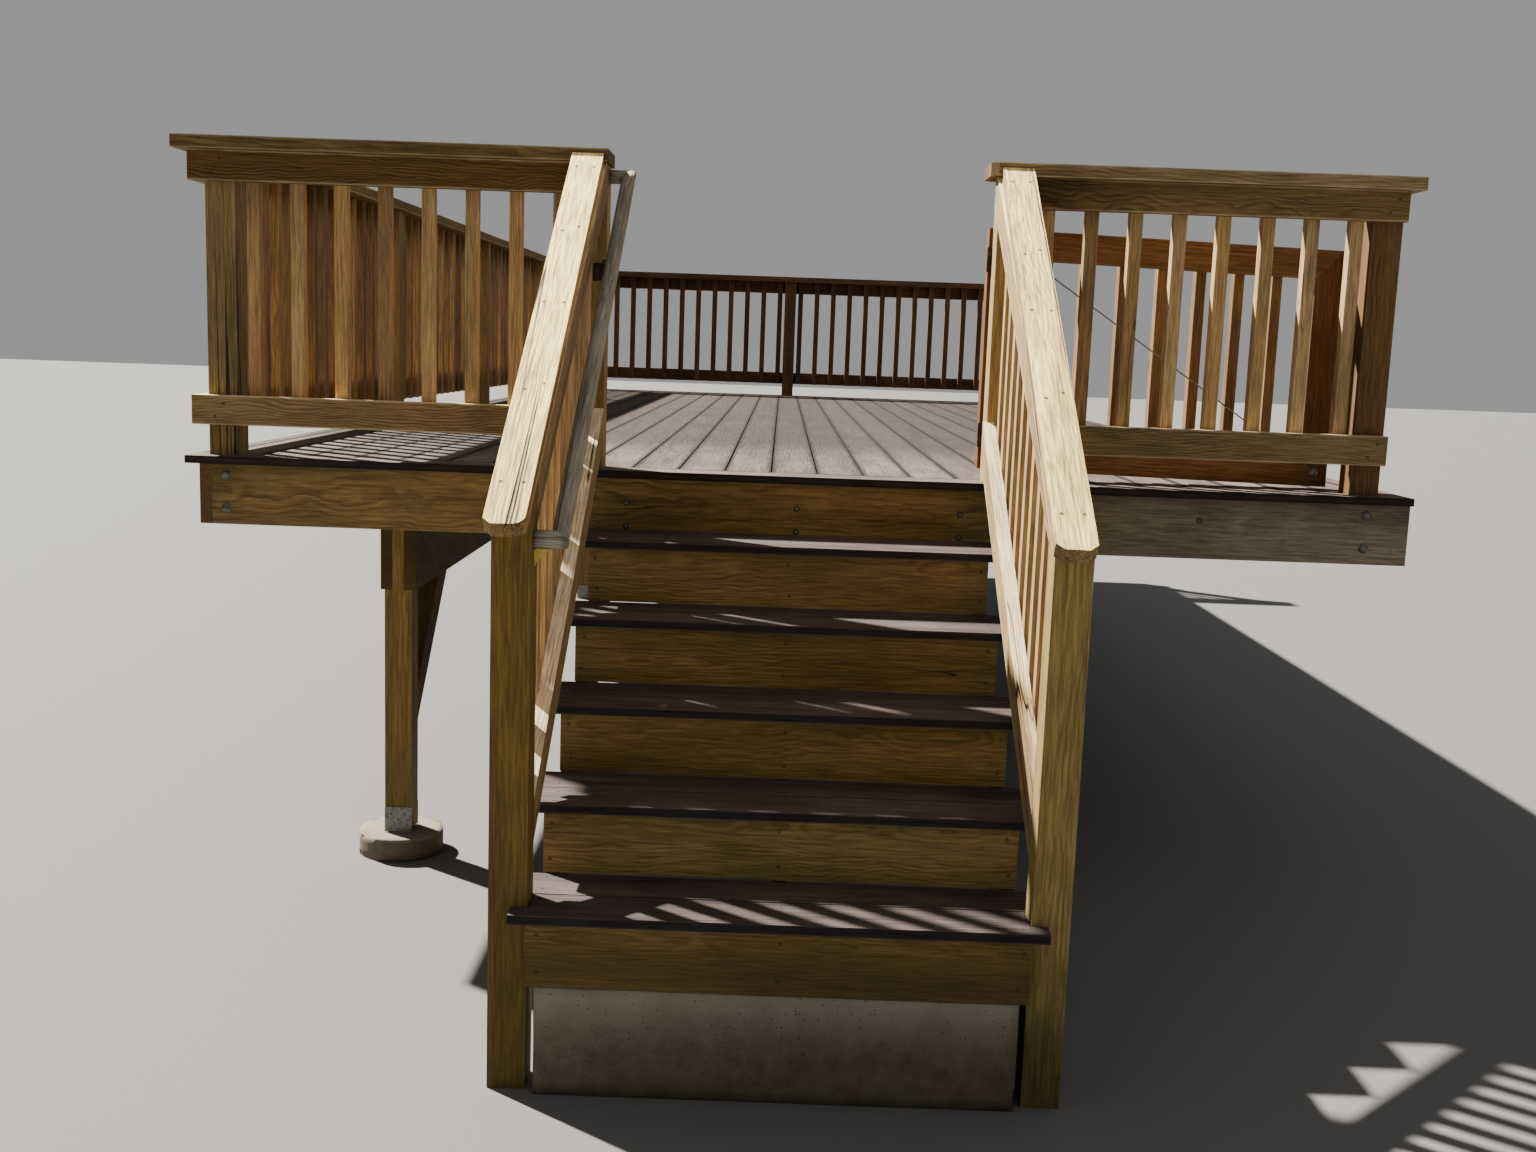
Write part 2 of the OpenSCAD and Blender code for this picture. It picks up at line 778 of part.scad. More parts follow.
module gate_balusters() {
    gap = (ix1 - ix0 - gate_bal_n * gate_bal) / (gate_bal_n + 1);
    color("chocolate") place() swing()
        for (i = [0 : gate_bal_n - 1])
            let (x = ix0 + gap + i * (gate_bal + gap))
                board([x, gy0 - gate_bal, gz0 + bal_in - dip(x)],
                    [gate_bal, gate_bal, gate_h - 2 * bal_in]);
}

eye_t = 4;
eye_d = 26;
eye_out = 7;
eye_tip = 4;
eye_in = hinge_gap + leaf_w + eye_d / 2;
buckle_l = 120;
buckle_at = 60;
collar_d = 16;
collar_l = 14;

// cable with an open turnbuckle from the top hinge corner to the low free corner
module gate_cable() {
    ax = gx1 - eye_in;
    bx = gx0 + gate_w / 2;
    a = [ax, gy1 + eye_t + eye_out, gz1 - gate_w / 2 - dip(ax)];
    b = [bx, gy1 + eye_t + eye_out, gz0 + gate_w / 2 - dip(bx)];
    d = b - a;
    l = norm(d);
    ang = atan2(d[2], d[0]);
    color("gray") place() swing() {
        for (p = [a, b]) {
            translate([p[0], gy1, p[2]]) rotate([-90, 0, 0])
                cylinder(d = eye_d, h = eye_t, $fn = 32);
            translate([p[0], gy1 + eye_t - 1, p[2]]) rotate([-90, 0, 0])
                cylinder(d = 10, h = eye_out + eye_tip, $fn = 32);
        }
        translate(a) rotate([0, -ang + 90, 0]) {
            cylinder(d = cable_d, h = l, $fn = 24);
            for (z = [0, buckle_l - collar_l])
                translate([0, 0, l - buckle_at - buckle_l + z])
                    cylinder(d = collar_d, h = collar_l, $fn = 32);
            for (s = [-1, 1])
                translate([0, s * 5.5, l - buckle_at - buckle_l + 2])
                    cylinder(d = 4, h = buckle_l - 4, $fn = 16);
        }
    }
}

module hinge_gate_leaves() {
    color("black") place() swing()
        for (z = hinge_zs) {
            board([leaf_x - leaf_in, gy1, z], [leaf_in, leaf_t, hinge_h]);
            difference() {
                union() {
                    translate([hinge_x, hinge_y, z + third])
                        cylinder(r = knuckle_r, h = third - 0.5, $fn = 32);
                    board([leaf_x - 1, gy1, z + third], [hinge_x - leaf_x + 1, leaf_t, third - 0.5]);
                }
                translate([hinge_x, hinge_y, z - 1])
                    cylinder(d = pin_d + 2 * run_fit, h = hinge_h + 2, $fn = 32);
            }
        }
}

end_rims();
side_band();
house_ledger();
joists();
stair_header();
beam_plies();
beam_posts();
knee_braces();
post_bases();
piers();
stair_footing();
deck_boards();
deck_borders();
stringers();
risers();
treads();
bottom_tread();
lower_newels();
upper_newels();
rail_posts();
stair_caps();
stair_rails();
stair_balusters();
handrail();
handrail_brackets();
front_caps();
side_cap();
back_cap();
front_rails();
side_rails();
back_rails();
front_balusters();
side_balusters();
back_balusters();
carriage_bolts();
hinge_newel_leaves();
hinge_pins();
gate_stiles();
gate_rails();
gate_balusters();
gate_cable();
hinge_gate_leaves();
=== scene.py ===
"""Looks of a raised timber deck with a flight of stairs, railings on three sides and a swing gate.

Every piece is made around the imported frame, in metres, with +Z up, the stairs towards -Y and the
wall side at +X. A board takes its shape and place from the solid that it stands for, with its arrises
rounded and its faces let wander a little, and it carries its own place along the grain to its finish.
"""
import sys

import json
import logging
import math
import random
from collections.abc import Iterable, Iterator
from dataclasses import dataclass, field
from enum import Enum
from typing import Any

import bmesh
import bpy
from mathutils import Matrix, Vector, noise

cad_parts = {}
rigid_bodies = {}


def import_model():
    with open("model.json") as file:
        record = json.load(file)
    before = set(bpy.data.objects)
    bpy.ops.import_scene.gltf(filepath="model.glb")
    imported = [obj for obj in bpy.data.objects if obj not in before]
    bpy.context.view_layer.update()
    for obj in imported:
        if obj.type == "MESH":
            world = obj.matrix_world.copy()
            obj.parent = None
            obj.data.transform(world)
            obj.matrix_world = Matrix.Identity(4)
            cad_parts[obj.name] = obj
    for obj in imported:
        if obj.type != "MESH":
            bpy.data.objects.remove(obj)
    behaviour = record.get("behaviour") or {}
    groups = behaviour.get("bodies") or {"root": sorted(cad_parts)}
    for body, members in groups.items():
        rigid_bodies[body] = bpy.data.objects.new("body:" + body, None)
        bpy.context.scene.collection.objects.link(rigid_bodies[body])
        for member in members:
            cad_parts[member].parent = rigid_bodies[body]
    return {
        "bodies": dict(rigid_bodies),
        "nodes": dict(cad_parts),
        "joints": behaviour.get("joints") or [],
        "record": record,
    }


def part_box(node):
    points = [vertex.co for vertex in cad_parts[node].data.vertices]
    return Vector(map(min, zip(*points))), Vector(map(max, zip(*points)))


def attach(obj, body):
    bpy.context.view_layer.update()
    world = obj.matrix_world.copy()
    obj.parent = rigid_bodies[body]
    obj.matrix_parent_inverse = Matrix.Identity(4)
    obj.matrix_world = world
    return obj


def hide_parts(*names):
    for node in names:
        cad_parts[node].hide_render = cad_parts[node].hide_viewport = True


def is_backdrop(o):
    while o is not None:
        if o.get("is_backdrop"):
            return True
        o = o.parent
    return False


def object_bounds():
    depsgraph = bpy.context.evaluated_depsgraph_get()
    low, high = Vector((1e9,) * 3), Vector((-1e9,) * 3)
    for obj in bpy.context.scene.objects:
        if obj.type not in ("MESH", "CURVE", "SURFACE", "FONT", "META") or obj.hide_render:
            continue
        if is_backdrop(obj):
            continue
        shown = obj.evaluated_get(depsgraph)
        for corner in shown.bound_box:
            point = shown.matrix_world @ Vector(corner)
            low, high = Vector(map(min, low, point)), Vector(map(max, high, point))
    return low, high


LOG = logging.getLogger("deck")

# Rise over going of the stairs, and the angle in degrees at which the gate stands open.
RAIL_SLOPE = 179 / 263
OPEN_ANGLE = 176.0

# Bands along Y, up Z, up Z and along X in metres, each from where a mask is 0 to where it is 1.
# The band along Y lightens the deck boards towards the stairs: partly scuffing by traffic, partly a painted
# sheen near the stairs, with painted shade further back.
WORN_AND_LIT_BAND = (-2.3, -3.5)
DAMP_BAND = (-0.78, -0.92)
LOW_BAND = (-0.9, -1.12)
WALL_BAND = (-1.2, -0.8)

# Colours of the green at the foot of a post, and of the painted shade inside a drying check.
MOSS = (0.035, 0.045, 0.014)
CRACK_SHADE = (0.012, 0.009, 0.006)

# What a board's points carry: their place on the board, its half sizes, its direction and its luck.
CARRIED = ("place", "half", "axis", "draw")

Socket = bpy.types.NodeSocket
Shader = bpy.types.Node
Rgb = tuple[float, float, float]
Frame = dict[str, Any]
Box = tuple[Vector, Vector]
Spot = tuple[Vector, Vector]
Profile = Iterable[tuple[float, float]]
Loose = bmesh.types.BMesh
Faces = list[bmesh.types.BMFace]
Thing = bpy.types.Object

RIGHT = Vector((1.0, 0.0, 0.0)).freeze()
LEFT = Vector((-1.0, 0.0, 0.0)).freeze()
BACK = Vector((0.0, 1.0, 0.0)).freeze()
FORWARD = Vector((0.0, -1.0, 0.0)).freeze()
ABOVE = Vector((0.0, 0.0, 1.0)).freeze()


class Body(Enum):
    """The moving bodies of the frame."""

    DECK = "deck"
    GATE = "gate"


class Slot(Enum):
    """The finish slots of the record."""

    TREATED = "pressure_treated_wood"
    COMPOSITE = "composite_board"
    STAINED = "stained_wood"
    WEATHERED = "weathered_wood"
    GATE = "gate_wood"
    CONCRETE = "concrete"
    STEEL = "galvanised_steel"
    IRON = "black_iron"
    BRACKET = "dark_bracket"


class Graph:
    """A node tree with short calls for the nodes that the finishes use."""

    def __init__(self, tree: bpy.types.NodeTree) -> None:
        """Hold the tree that the calls add nodes to."""
        self.tree = tree

    def add(self, kind: str, feeds: dict[str | int, Any] | None = None, **props: Any) -> bpy.types.Node:
        """Add a node.

        Args:
            kind: Blender's name of the node type.
            feeds: A value or a socket for each input, by its name or number.
            **props: Properties set on the node before its inputs are fed.

        Returns:
            The new node.
        """
        node = self.tree.nodes.new(kind)
        for key, value in props.items():
            setattr(node, key, value)
        for key, value in (feeds or {}).items():
            self.feed(node.inputs[key], value)
        return node

    def feed(self, socket: Socket, value: Any) -> None:
        """Link a socket to the input, or set the input to a plain value.

        Args:
            socket: The input.
            value: The socket or the plain value.
        """
        if isinstance(value, Socket):
            self.tree.links.new(value, socket)
        else:
            socket.default_value = value

    def math(self, operation: str, a: Any, b: Any = 0.0, clamp: bool = False) -> Socket:
        """Return the result of a Math node."""
        node = self.add("ShaderNodeMath", {0: a, 1: b}, operation=operation, use_clamp=clamp)
        return node.outputs[0]

    def times(self, a: Any, b: Any, clamp: bool = False) -> Socket:
        """Return the product of two values."""
        return self.math("MULTIPLY", a, b, clamp)

    def plus(self, a: Any, b: Any) -> Socket:
        """Return the sum of two values."""
        return self.math("ADD", a, b)

    def less(self, a: Any, b: Any, clamp: bool = False) -> Socket:
        """Return the first value less the second."""
        return self.math("SUBTRACT", a, b, clamp)

    def vector(self, operation: str, a: Any, b: Any = (0.0, 0.0, 0.0)) -> Socket:
        """Return the vector result of a Vector Math node."""
        return self.add("ShaderNodeVectorMath", {0: a, 1: b}, operation=operation).outputs["Vector"]

    def split(self, value: Socket) -> tuple[Socket, Socket, Socket]:
        """Return the three parts of a vector."""
        out = self.add("ShaderNodeSeparateXYZ", {0: value}).outputs
        return out[0], out[1], out[2]

    def join(self, x: Any, y: Any, z: Any) -> Socket:
        """Return a vector made of three parts."""
        return self.add("ShaderNodeCombineXYZ", {0: x, 1: y, 2: z}).outputs[0]

    def fade(self, value: Any, start: float, end: float) -> Socket:
        """Return 0 to 1 as the value goes smoothly from start to end."""
        feeds = {"Value": value, "From Min": start, "From Max": end}
        return self.add("ShaderNodeMapRange", feeds, interpolation_type="SMOOTHSTEP").outputs["Result"]

    def span(self, value: Any, low: float, high: float) -> Socket:
        """Return a value from low to high as the input goes from 0 to 1."""
        feeds = {"Value": value, "To Min": low, "To Max": high}
        return self.add("ShaderNodeMapRange", feeds).outputs["Result"]

    def swing(self, value: Any, reach: float) -> Socket:
        """Return a value from -reach to reach as the input goes from 0 to 1."""
        return self.span(value, -reach, reach)

    def scaled(self, value: Any, by: Any, low: float, high: float, clamp: bool = False) -> Socket:
        """Return a value times low to high as another one goes from 0 to 1."""
        return self.times(value, self.span(by, low, high), clamp)

    def blend(self, share: Any, a: Any, b: Any, how: str = "MIX") -> Socket:
        """Return the colour a, mixed with b by the share.

        Args:
            share: How much of b shows.
            a: Colour under it.
            b: Colour over it.
            how: Blender's name of the way in which they mix.

        Returns:
            The mixed colour.
        """
        node = self.add("ShaderNodeMix", {0: share}, data_type="RGBA", blend_type=how)
        for index, value in ((6, a), (7, b)):
            self.feed(node.inputs[index], value if isinstance(value, Socket) else (*value, 1.0))
        return node.outputs[2]

    def coat(self, colour: Any, over: Any, mask: Any, share: Any) -> Socket:
        """Return a colour under a coat of another that a mask times a share lets cover it."""
        return self.blend(self.times(mask, share), colour, over)

    def shaded(self, colour: Any, red: Any, green: Any, blue: Any) -> Socket:
        """Return a colour with each part multiplied."""
        return self.blend(1.0, colour, self.join(red, green, blue), "MULTIPLY")

    def noise(self, place: Any, scale: Any, detail: float = 2.0, rough: float = 0.5) -> Socket:
        """Return a smooth random value near 0.5 over the place."""
        feeds = {"Vector": place, "Scale": scale, "Detail": detail, "Roughness": rough}
        return self.add("ShaderNodeTexNoise", feeds).outputs[0]

    def drawn(self, place: Any, along: float, across: float,
              detail: float = 2.0, rough: float = 0.5) -> Socket:
        """Return a smooth random value near 0.5, drawn out along a board."""
        return self.noise(self.vector("MULTIPLY", place, (along, across, across)), 1.0, detail, rough)

    def coordinate(self, label: str) -> Socket:
        """Return a texture coordinate."""
        return self.add("ShaderNodeTexCoord").outputs[label]

    def named(self, label: str) -> Socket:
        """Return a vector that the mesh carries under that name."""
        return self.add("ShaderNodeAttribute", attribute_name=label).outputs["Vector"]


class Effect:
    """An effect that more than one finish uses, kept as one shader node group.

    Attributes:
        name: Name of the group.
        takes: Names of its inputs, with their usual values.
        gives: Names of its outputs.
    """

    name = "effect"
    takes: dict[str, float] = {}
    gives: tuple[str, ...] = ()

    def draw(self, graph: Graph, given: dict[str, Socket]) -> dict[str, Socket]:
        """Draw the inside of the group.

        Args:
            graph: The group's own tree.
            given: The group's inputs by name.

        Returns:
            A socket for each output by name.
        """
        raise NotImplementedError

    def kind(self, label: str) -> str:
        """Return the socket type of an output, a vector where its name says place."""
        return "NodeSocketVector" if "place" in label.lower() else "NodeSocketFloat"

    def tree(self) -> bpy.types.NodeTree:
        """Build the group the first time that it is asked for.

        Returns:
            The group.
        """
        found = bpy.data.node_groups.get(self.name)
        if found:
            return found
        tree = bpy.data.node_groups.new(self.name, "ShaderNodeTree")
        for label, value in self.takes.items():
            socket = tree.interface.new_socket(label, in_out="INPUT", socket_type="NodeSocketFloat")
            socket.default_value = value
        for label in self.gives:
            tree.interface.new_socket(label, in_out="OUTPUT", socket_type=self.kind(label))
        graph = Graph(tree)
        source = graph.add("NodeGroupInput")
        sink = graph.add("NodeGroupOutput")
        made = self.draw(graph, {label: source.outputs[label] for label in self.takes})
        for label in self.gives:
            graph.feed(sink.inputs[label], made[label])
        return tree

    def put(self, graph: Graph, **values: Any) -> dict[str, Socket]:
        """Place the group in a finish.

        Args:
            graph: The finish's tree.
            **values: Inputs by name, with _ for a space.

        Returns:
            The group's outputs by name.
        """
        node = graph.add("ShaderNodeGroup", node_tree=self.tree())
        for key, value in values.items():
            graph.feed(node.inputs[key.replace("_", " ")], value)
        return {label: node.outputs[label] for label in self.gives}


class BoardPlace(Effect):
    """Where a point lies on its own board: along, across and through it, and how near an arris.

    Attributes:
        ragged: Least and largest share of the arris width that the wear reaches.
        end_grain: How squarely a face must look along the board to count as end grain.
        upward: How squarely it must look up to count as an upper face.
        apart: How far the luck of the draw moves a board through the noises.
    """

    name = "board place"
    takes = {"Arris Width": 0.005}
    gives = ("Place", "Own Place", "Arris", "End", "Up", "Tone", "Second Tone")
    ragged = (0.2, 1.9)
    end_grain = (0.55, 0.75)
    upward = (0.35, 0.9)
    apart = (31.0, 17.0, 23.0)

    def draw(self, graph: Graph, given: dict[str, Socket]) -> dict[str, Socket]:
        """Read what the mesh carries and work out the masks.

        Args:
            graph: The group's own tree.
            given: The group's inputs by name.

        Returns:
            A socket for each output by name.
        """
        place, half, draw = (graph.named(label) for label in ("place", "half", "draw"))
        normal = graph.coordinate("Normal")
        room = graph.vector("SUBTRACT", half, graph.vector("ABSOLUTE", place))
        _, across, through = graph.split(room)
        nearest = graph.math("MAXIMUM", across, through)
        reach = graph.scaled(given["Arris Width"], graph.drawn(place, 9.0, 60.0), *self.ragged)
        arris = graph.less(1.0, graph.math("DIVIDE", nearest, reach), clamp=True)
        feeds = {0: normal, 1: graph.named("axis")}
        facing = graph.add("ShaderNodeVectorMath", feeds, operation="DOT_PRODUCT").outputs["Value"]
        end = graph.fade(graph.math("ABSOLUTE", facing), *self.end_grain)
        up = graph.fade(graph.split(normal)[2], *self.upward)
        tone, second, _ = graph.split(draw)
        own = graph.vector("ADD", place, graph.vector("MULTIPLY", draw, self.apart))
        return {"Place": place, "Own Place": own, "Arris": arris, "End": end, "Up": up,
                "Tone": tone, "Second Tone": second}


class Growth(Effect):
    """Growth rings, knots and fibre of a sawn board.

    Attributes:
        pith_aside: How far the pith may lie to either side of the board's middle.
        pith_behind: How far it may lie behind the board's back.
        wander: How far it wanders aside along the board.
        taper: How much thicker the tree gets in a metre.
        ripple: Size of the short waves in the rings.
        swell: Size of the long ones.
        rise: Where in a ring the hard wood begins, and where it is darkest.
        fall: Where it ends, and how sharply.
        patch: Least share of the hard wood's colour, where the rings fade.
        knot_cells: Number of cells in a metre that may hold a knot.
        knot_rare: Share of them that stay empty.
        knot_radius: Least and largest radius of a knot.
        knot_push: How far a knot pushes the rings aside.
    """

    name = "growth"
    takes = {"Ring Width": 0.006, "Knots": 1.0, "Wave": 0.3}
    gives = ("Rings", "Knot", "Fibre", "Streak", "Smear")
    pith_aside = 0.07
    pith_behind = 0.07
    wander = 0.045
    taper = 0.011
    ripple = 0.0022
    swell = 0.04
    rise = (0.28, 0.88)
    fall = (1.0, 0.94)
    patch = 0.3
    knot_cells = 2.1
    knot_rare = 0.35
    knot_radius = (0.006, 0.017)
    knot_push = 0.012

    def draw(self, graph: Graph, given: dict[str, Socket]) -> dict[str, Socket]:
        """Cut rings round a pith that wanders along the board, and bend them round the knots.

        Args:
            graph: The group's own tree.
            given: The group's inputs by name.

        Returns:
            A socket for each output by name.
        """
        board = BoardPlace().put(graph)
        own = board["Own Place"]
        along, across, through = graph.split(board["Place"])
        half_through = graph.split(graph.named("half"))[2]
        draw = graph.split(graph.named("draw"))
        knot, bulge = self.knot(graph, own, given["Knots"])
        wander = graph.swing(graph.drawn(own, 0.9, 0.0, 3.0), self.wander)
        pith_u = graph.plus(graph.swing(draw[1], self.pith_aside), wander)
        pith_v = graph.plus(half_through, graph.span(draw[2], 0.0, self.pith_behind))
        du = graph.less(across, pith_u)
        dv = graph.less(through, pith_v)
        radius = graph.math("SQRT", graph.plus(graph.times(du, du), graph.times(dv, dv)))
        taper = graph.times(along, self.taper)
        ripple = graph.swing(graph.drawn(own, 5.0, 40.0), self.ripple)
        swell = graph.times(graph.swing(graph.drawn(own, 4.5, 9.0), self.swell), given["Wave"])
        for more in (taper, bulge, ripple, swell):
            radius = graph.plus(radius, more)
        turn = graph.math("FRACT", graph.math("DIVIDE", radius, given["Ring Width"]))
        late = graph.times(graph.fade(turn, *self.rise), graph.fade(turn, *self.fall))
        late = graph.scaled(late, graph.fade(graph.drawn(own, 1.9, 19.0), 0.3, 0.66), self.patch, 1.0)
        return {"Rings": late, "Knot": knot, "Fibre": graph.drawn(own, 22.0, 580.0, 3.0, 0.6),
                "Streak": graph.fade(graph.drawn(own, 9.0, 170.0, 4.0, 0.7), 0.32, 0.68),
                "Smear": graph.fade(graph.drawn(own, 1.8, 40.0, 4.0, 0.6), 0.5, 0.78)}

    def knot(self, graph: Graph, own: Socket, strength: Socket) -> tuple[Socket, Socket]:
        """Scatter knots along the board.

        Args:
            graph: The group's own tree.
            own: The board's own place.
            strength: How strongly the knots show.

        Returns:
            A mask of the knots, and how far each pushes the rings aside.
        """
        stretched = graph.vector("MULTIPLY", own, (1.0, 1.25, 0.08))
        cell = graph.add("ShaderNodeTexVoronoi", {"Vector": stretched, "Scale": self.knot_cells}).outputs
        spot = graph.math("DIVIDE", cell["Distance"], self.knot_cells)
        chance, size, _ = graph.split(cell["Color"])
        rare = graph.math("GREATER_THAN", chance, self.knot_rare)
        disc = graph.less(1.0, graph.math("DIVIDE", spot, graph.span(size, *self.knot_radius)), clamp=True)
        disc = graph.times(graph.times(disc, rare), strength)
        bulge = graph.times(graph.fade(spot, 0.05, 0.0), rare)
        return graph.fade(disc, 0.0, 0.45), graph.times(bulge, graph.times(strength, self.knot_push))


class Checks(Effect):
    """Drying cracks that run along a board.

    Attributes:
        line: Where a crack begins in the noise and where it is deepest.
        amount: What the coarse noise must pass where few cracks show, and where many do.
        sharp: How sharply the cracks end.
    """

    name = "drying checks"
    takes = {"Amount": 0.5, "Shortness": 1.1, "Width": 1.0}
    gives = ("Crack",)
    line = (0.013, 0.002)
    amount = (0.74, 0.42)
    sharp = 9.0

    def draw(self, graph: Graph, given: dict[str, Socket]) -> dict[str, Socket]:
        """Keep thin lines of a long drawn noise, in places.

        Args:
            graph: The group's own tree.
            given: The group's inputs by name.

        Returns:
            A socket for each output by name.
        """
        own = BoardPlace().put(graph)["Own Place"]
        short = given["Shortness"]
        fine, broad = (graph.vector("MULTIPLY", own, graph.join(short, n, n)) for n in (26.0, 9.0))
        off = graph.math("ABSOLUTE", graph.less(graph.noise(fine, 1.0, 2.0), 0.5))
        line = graph.fade(graph.math("DIVIDE", off, given["Width"]), *self.line)
        over = graph.less(graph.noise(broad, 1.0, 1.0), graph.span(given["Amount"], *self.amount))
        return {"Crack": graph.times(line, graph.times(over, self.sharp, clamp=True))}


class Grime(Effect):
    """Blotches of damp and dirt in the object's own space.

    Attributes:
        cloudy: Where in the noise a blotch begins, and where it is full.
    """

    name = "grime"
    takes = {"Size": 3.0}
    gives = ("Blotch", "Low", "Damp Foot", "Wall Side")
    cloudy = (0.38, 0.72)

    def draw(self, graph: Graph, given: dict[str, Socket]) -> dict[str, Socket]:
        """Lay a broad noise, and masks that grow towards the foot and towards the wall.

        Args:
            graph: The group's own tree.
            given: The group's inputs by name.

        Returns:
            A socket for each output by name.
        """
        place = graph.coordinate("Object")
        blotch = graph.noise(place, given["Size"], 4.0, 0.62)
        across, _, height = graph.split(place)
        return {"Blotch": graph.fade(blotch, *self.cloudy), "Low": graph.fade(height, *LOW_BAND),
                "Damp Foot": graph.fade(height, *DAMP_BAND), "Wall Side": graph.fade(across, *WALL_BAND)}


def darker(colour: Rgb, share: float) -> Rgb:
    """Return a colour times a share."""
    return (share * colour[0], share * colour[1], share * colour[2])


@dataclass(frozen=True)
class Finish:
    """What a piece is dressed in.

    Attributes:
        name: Name of its material.
        slot: Finish slot of the record.
    """

    name: str
    slot: Slot

    def material(self) -> bpy.types.Material:
        """Build the material the first time that it is asked for.

        Returns:
            The material.
        """
        found = bpy.data.materials.get(self.name)
        if found:
            return found
        material = bpy.data.materials.new(self.name)
        material.use_nodes = True
        material.node_tree.nodes.clear()
        graph = Graph(material.node_tree)
        shader = graph.add("ShaderNodeBsdfPrincipled")
        graph.add("ShaderNodeOutputMaterial", {"Surface": shader.outputs["BSDF"]})
        self.draw(graph, shader)
        return material

    def draw(self, graph: Graph, shader: Shader) -> None:
        """Lay the finish over itself, layer by layer, and feed the shader."""
        raise NotImplementedError

    def surface(self, graph: Graph, shader: Shader, colour: Socket, rough: Socket, height: Socket,
                depth: float, gloss: float = 0.5) -> None:
        """Feed the shader.

        Args:
            graph: The material's tree.
            shader: The shader that is fed.
            colour: Colour of the surface.
            rough: Its roughness.
            height: Its relief from 0 to 1.
            depth: What that relief stands for, in metres.
            gloss: Its specular level.
        """
        graph.feed(shader.inputs["Base Color"], colour)
        graph.feed(shader.inputs["Roughness"], rough)
        shader.inputs["Specular IOR Level"].default_value = gloss
        bump = graph.add("ShaderNodeBump", {"Height": height, "Distance": depth, "Strength": 1.0})
        graph.feed(shader.inputs["Normal"], bump.outputs[0])


@dataclass(frozen=True)
class Timber(Finish):
    """Sawn and weathered lumber.

    Attributes:
        early: Colour of the soft wood between the rings.
        late: Colour of the hard rings.
        film: Colour that sun and rain leave.
        film_up: Share of that film on faces that look up.
        film_side: Share of it on the other faces.
        ring: Spacing of the growth rings.
        contrast: How strongly the rings show.
        cracks: How many drying checks show.
        knots: How strongly the knots show.
        damp: Share of dark blotches.
        moss: Share of green at the foot.
        foot: Share of damp that rises from the ground.
        streak: How strongly the grain streaks the board.
        short: How short the drying checks are.
        open: How wide they gape.
        wave: How much the rings swell and sink along the board.
        wall_film: Share of film that is added next to the wall.
        spread: How far the boards differ from each other in brightness.
    """

    early: Rgb
    late: Rgb
    film: Rgb
    film_up: float = 0.6
    film_side: float = 0.15
    ring: float = 0.0065
    contrast: float = 0.75
    cracks: float = 0.45
    knots: float = 1.0
    damp: float = 0.35
    moss: float = 0.0
    foot: float = 0.0
    streak: float = 0.34
    short: float = 1.1
    open: float = 1.0
    wave: float = 0.3
    wall_film: float = 0.0
    spread: float = 0.16

    def draw(self, graph: Graph, shader: Shader) -> None:
        """Lay rings, knots, film, cracks and damp over each other, the cracks darkened as painted shade.

        Args:
            graph: The material's tree.
            shader: The shader that is fed.
        """
        board = BoardPlace().put(graph, Arris_Width=0.006)
        growth = Growth().put(graph, Ring_Width=self.ring, Knots=self.knots, Wave=self.wave)
        crack = Checks().put(graph, Amount=self.cracks, Shortness=self.short, Width=self.open)["Crack"]
        grime = Grime().put(graph, Size=2.6)
        rings, fibre = growth["Rings"], growth["Fibre"]
        second, blotch = board["Second Tone"], grime["Blotch"]
        colour = graph.blend(graph.times(rings, self.contrast), self.early, self.late)
        broad = graph.fade(graph.drawn(board["Own Place"], 1.3, 7.0, 3.0), 0.3, 0.7)
        shade = graph.span(broad, 0.74, 1.22)
        for value, swing in ((board["Tone"], self.spread), (fibre, 0.28), (growth["Streak"], self.streak)):
            shade = graph.scaled(shade, value, 1.0 - swing, 1.0 + swing)
        film = graph.math("MAXIMUM", graph.times(board["Up"], self.film_up), self.film_side)
        film = graph.plus(film, graph.times(grime["Wall Side"], self.wall_film))
        film = graph.scaled(film, rings, 1.12, 0.72)
        film = graph.scaled(film, second, 0.8, 1.2, clamp=True)
        colour = graph.blend(film, colour, self.film)
        colour = graph.coat(colour, self.film, board["Arris"], 0.45)
        red = graph.scaled(shade, second, 0.95, 1.07)
        blue = graph.scaled(shade, second, 1.12, 0.86)
        colour = graph.shaded(colour, red, shade, blue)
        wet = graph.math("MAXIMUM", blotch, growth["Smear"])
        green = graph.times(grime["Low"], blotch)
        for mask, share, over in (
            (board["End"], 0.45, darker(self.late, 0.45)),
            (growth["Knot"], 0.8, darker(self.late, 0.28)),
            (wet, self.damp, darker(self.late, 0.5)),
            (grime["Damp Foot"], self.foot, darker(self.late, 0.55)),
            (green, self.moss, MOSS),
        ):
            colour = graph.coat(colour, over, mask, share)
        # Drying checks are painted near black as the shade inside them.
        colour = graph.blend(crack, colour, CRACK_SHADE)
        rough = graph.less(graph.span(fibre, 0.68, 0.92), graph.times(rings, 0.08))
        height = graph.plus(graph.times(rings, 0.5), graph.times(fibre, 0.5))
        height = graph.less(height, graph.times(crack, 2.5))
        self.surface(graph, shader, colour, rough, height, depth=0.0009, gloss=0.3)


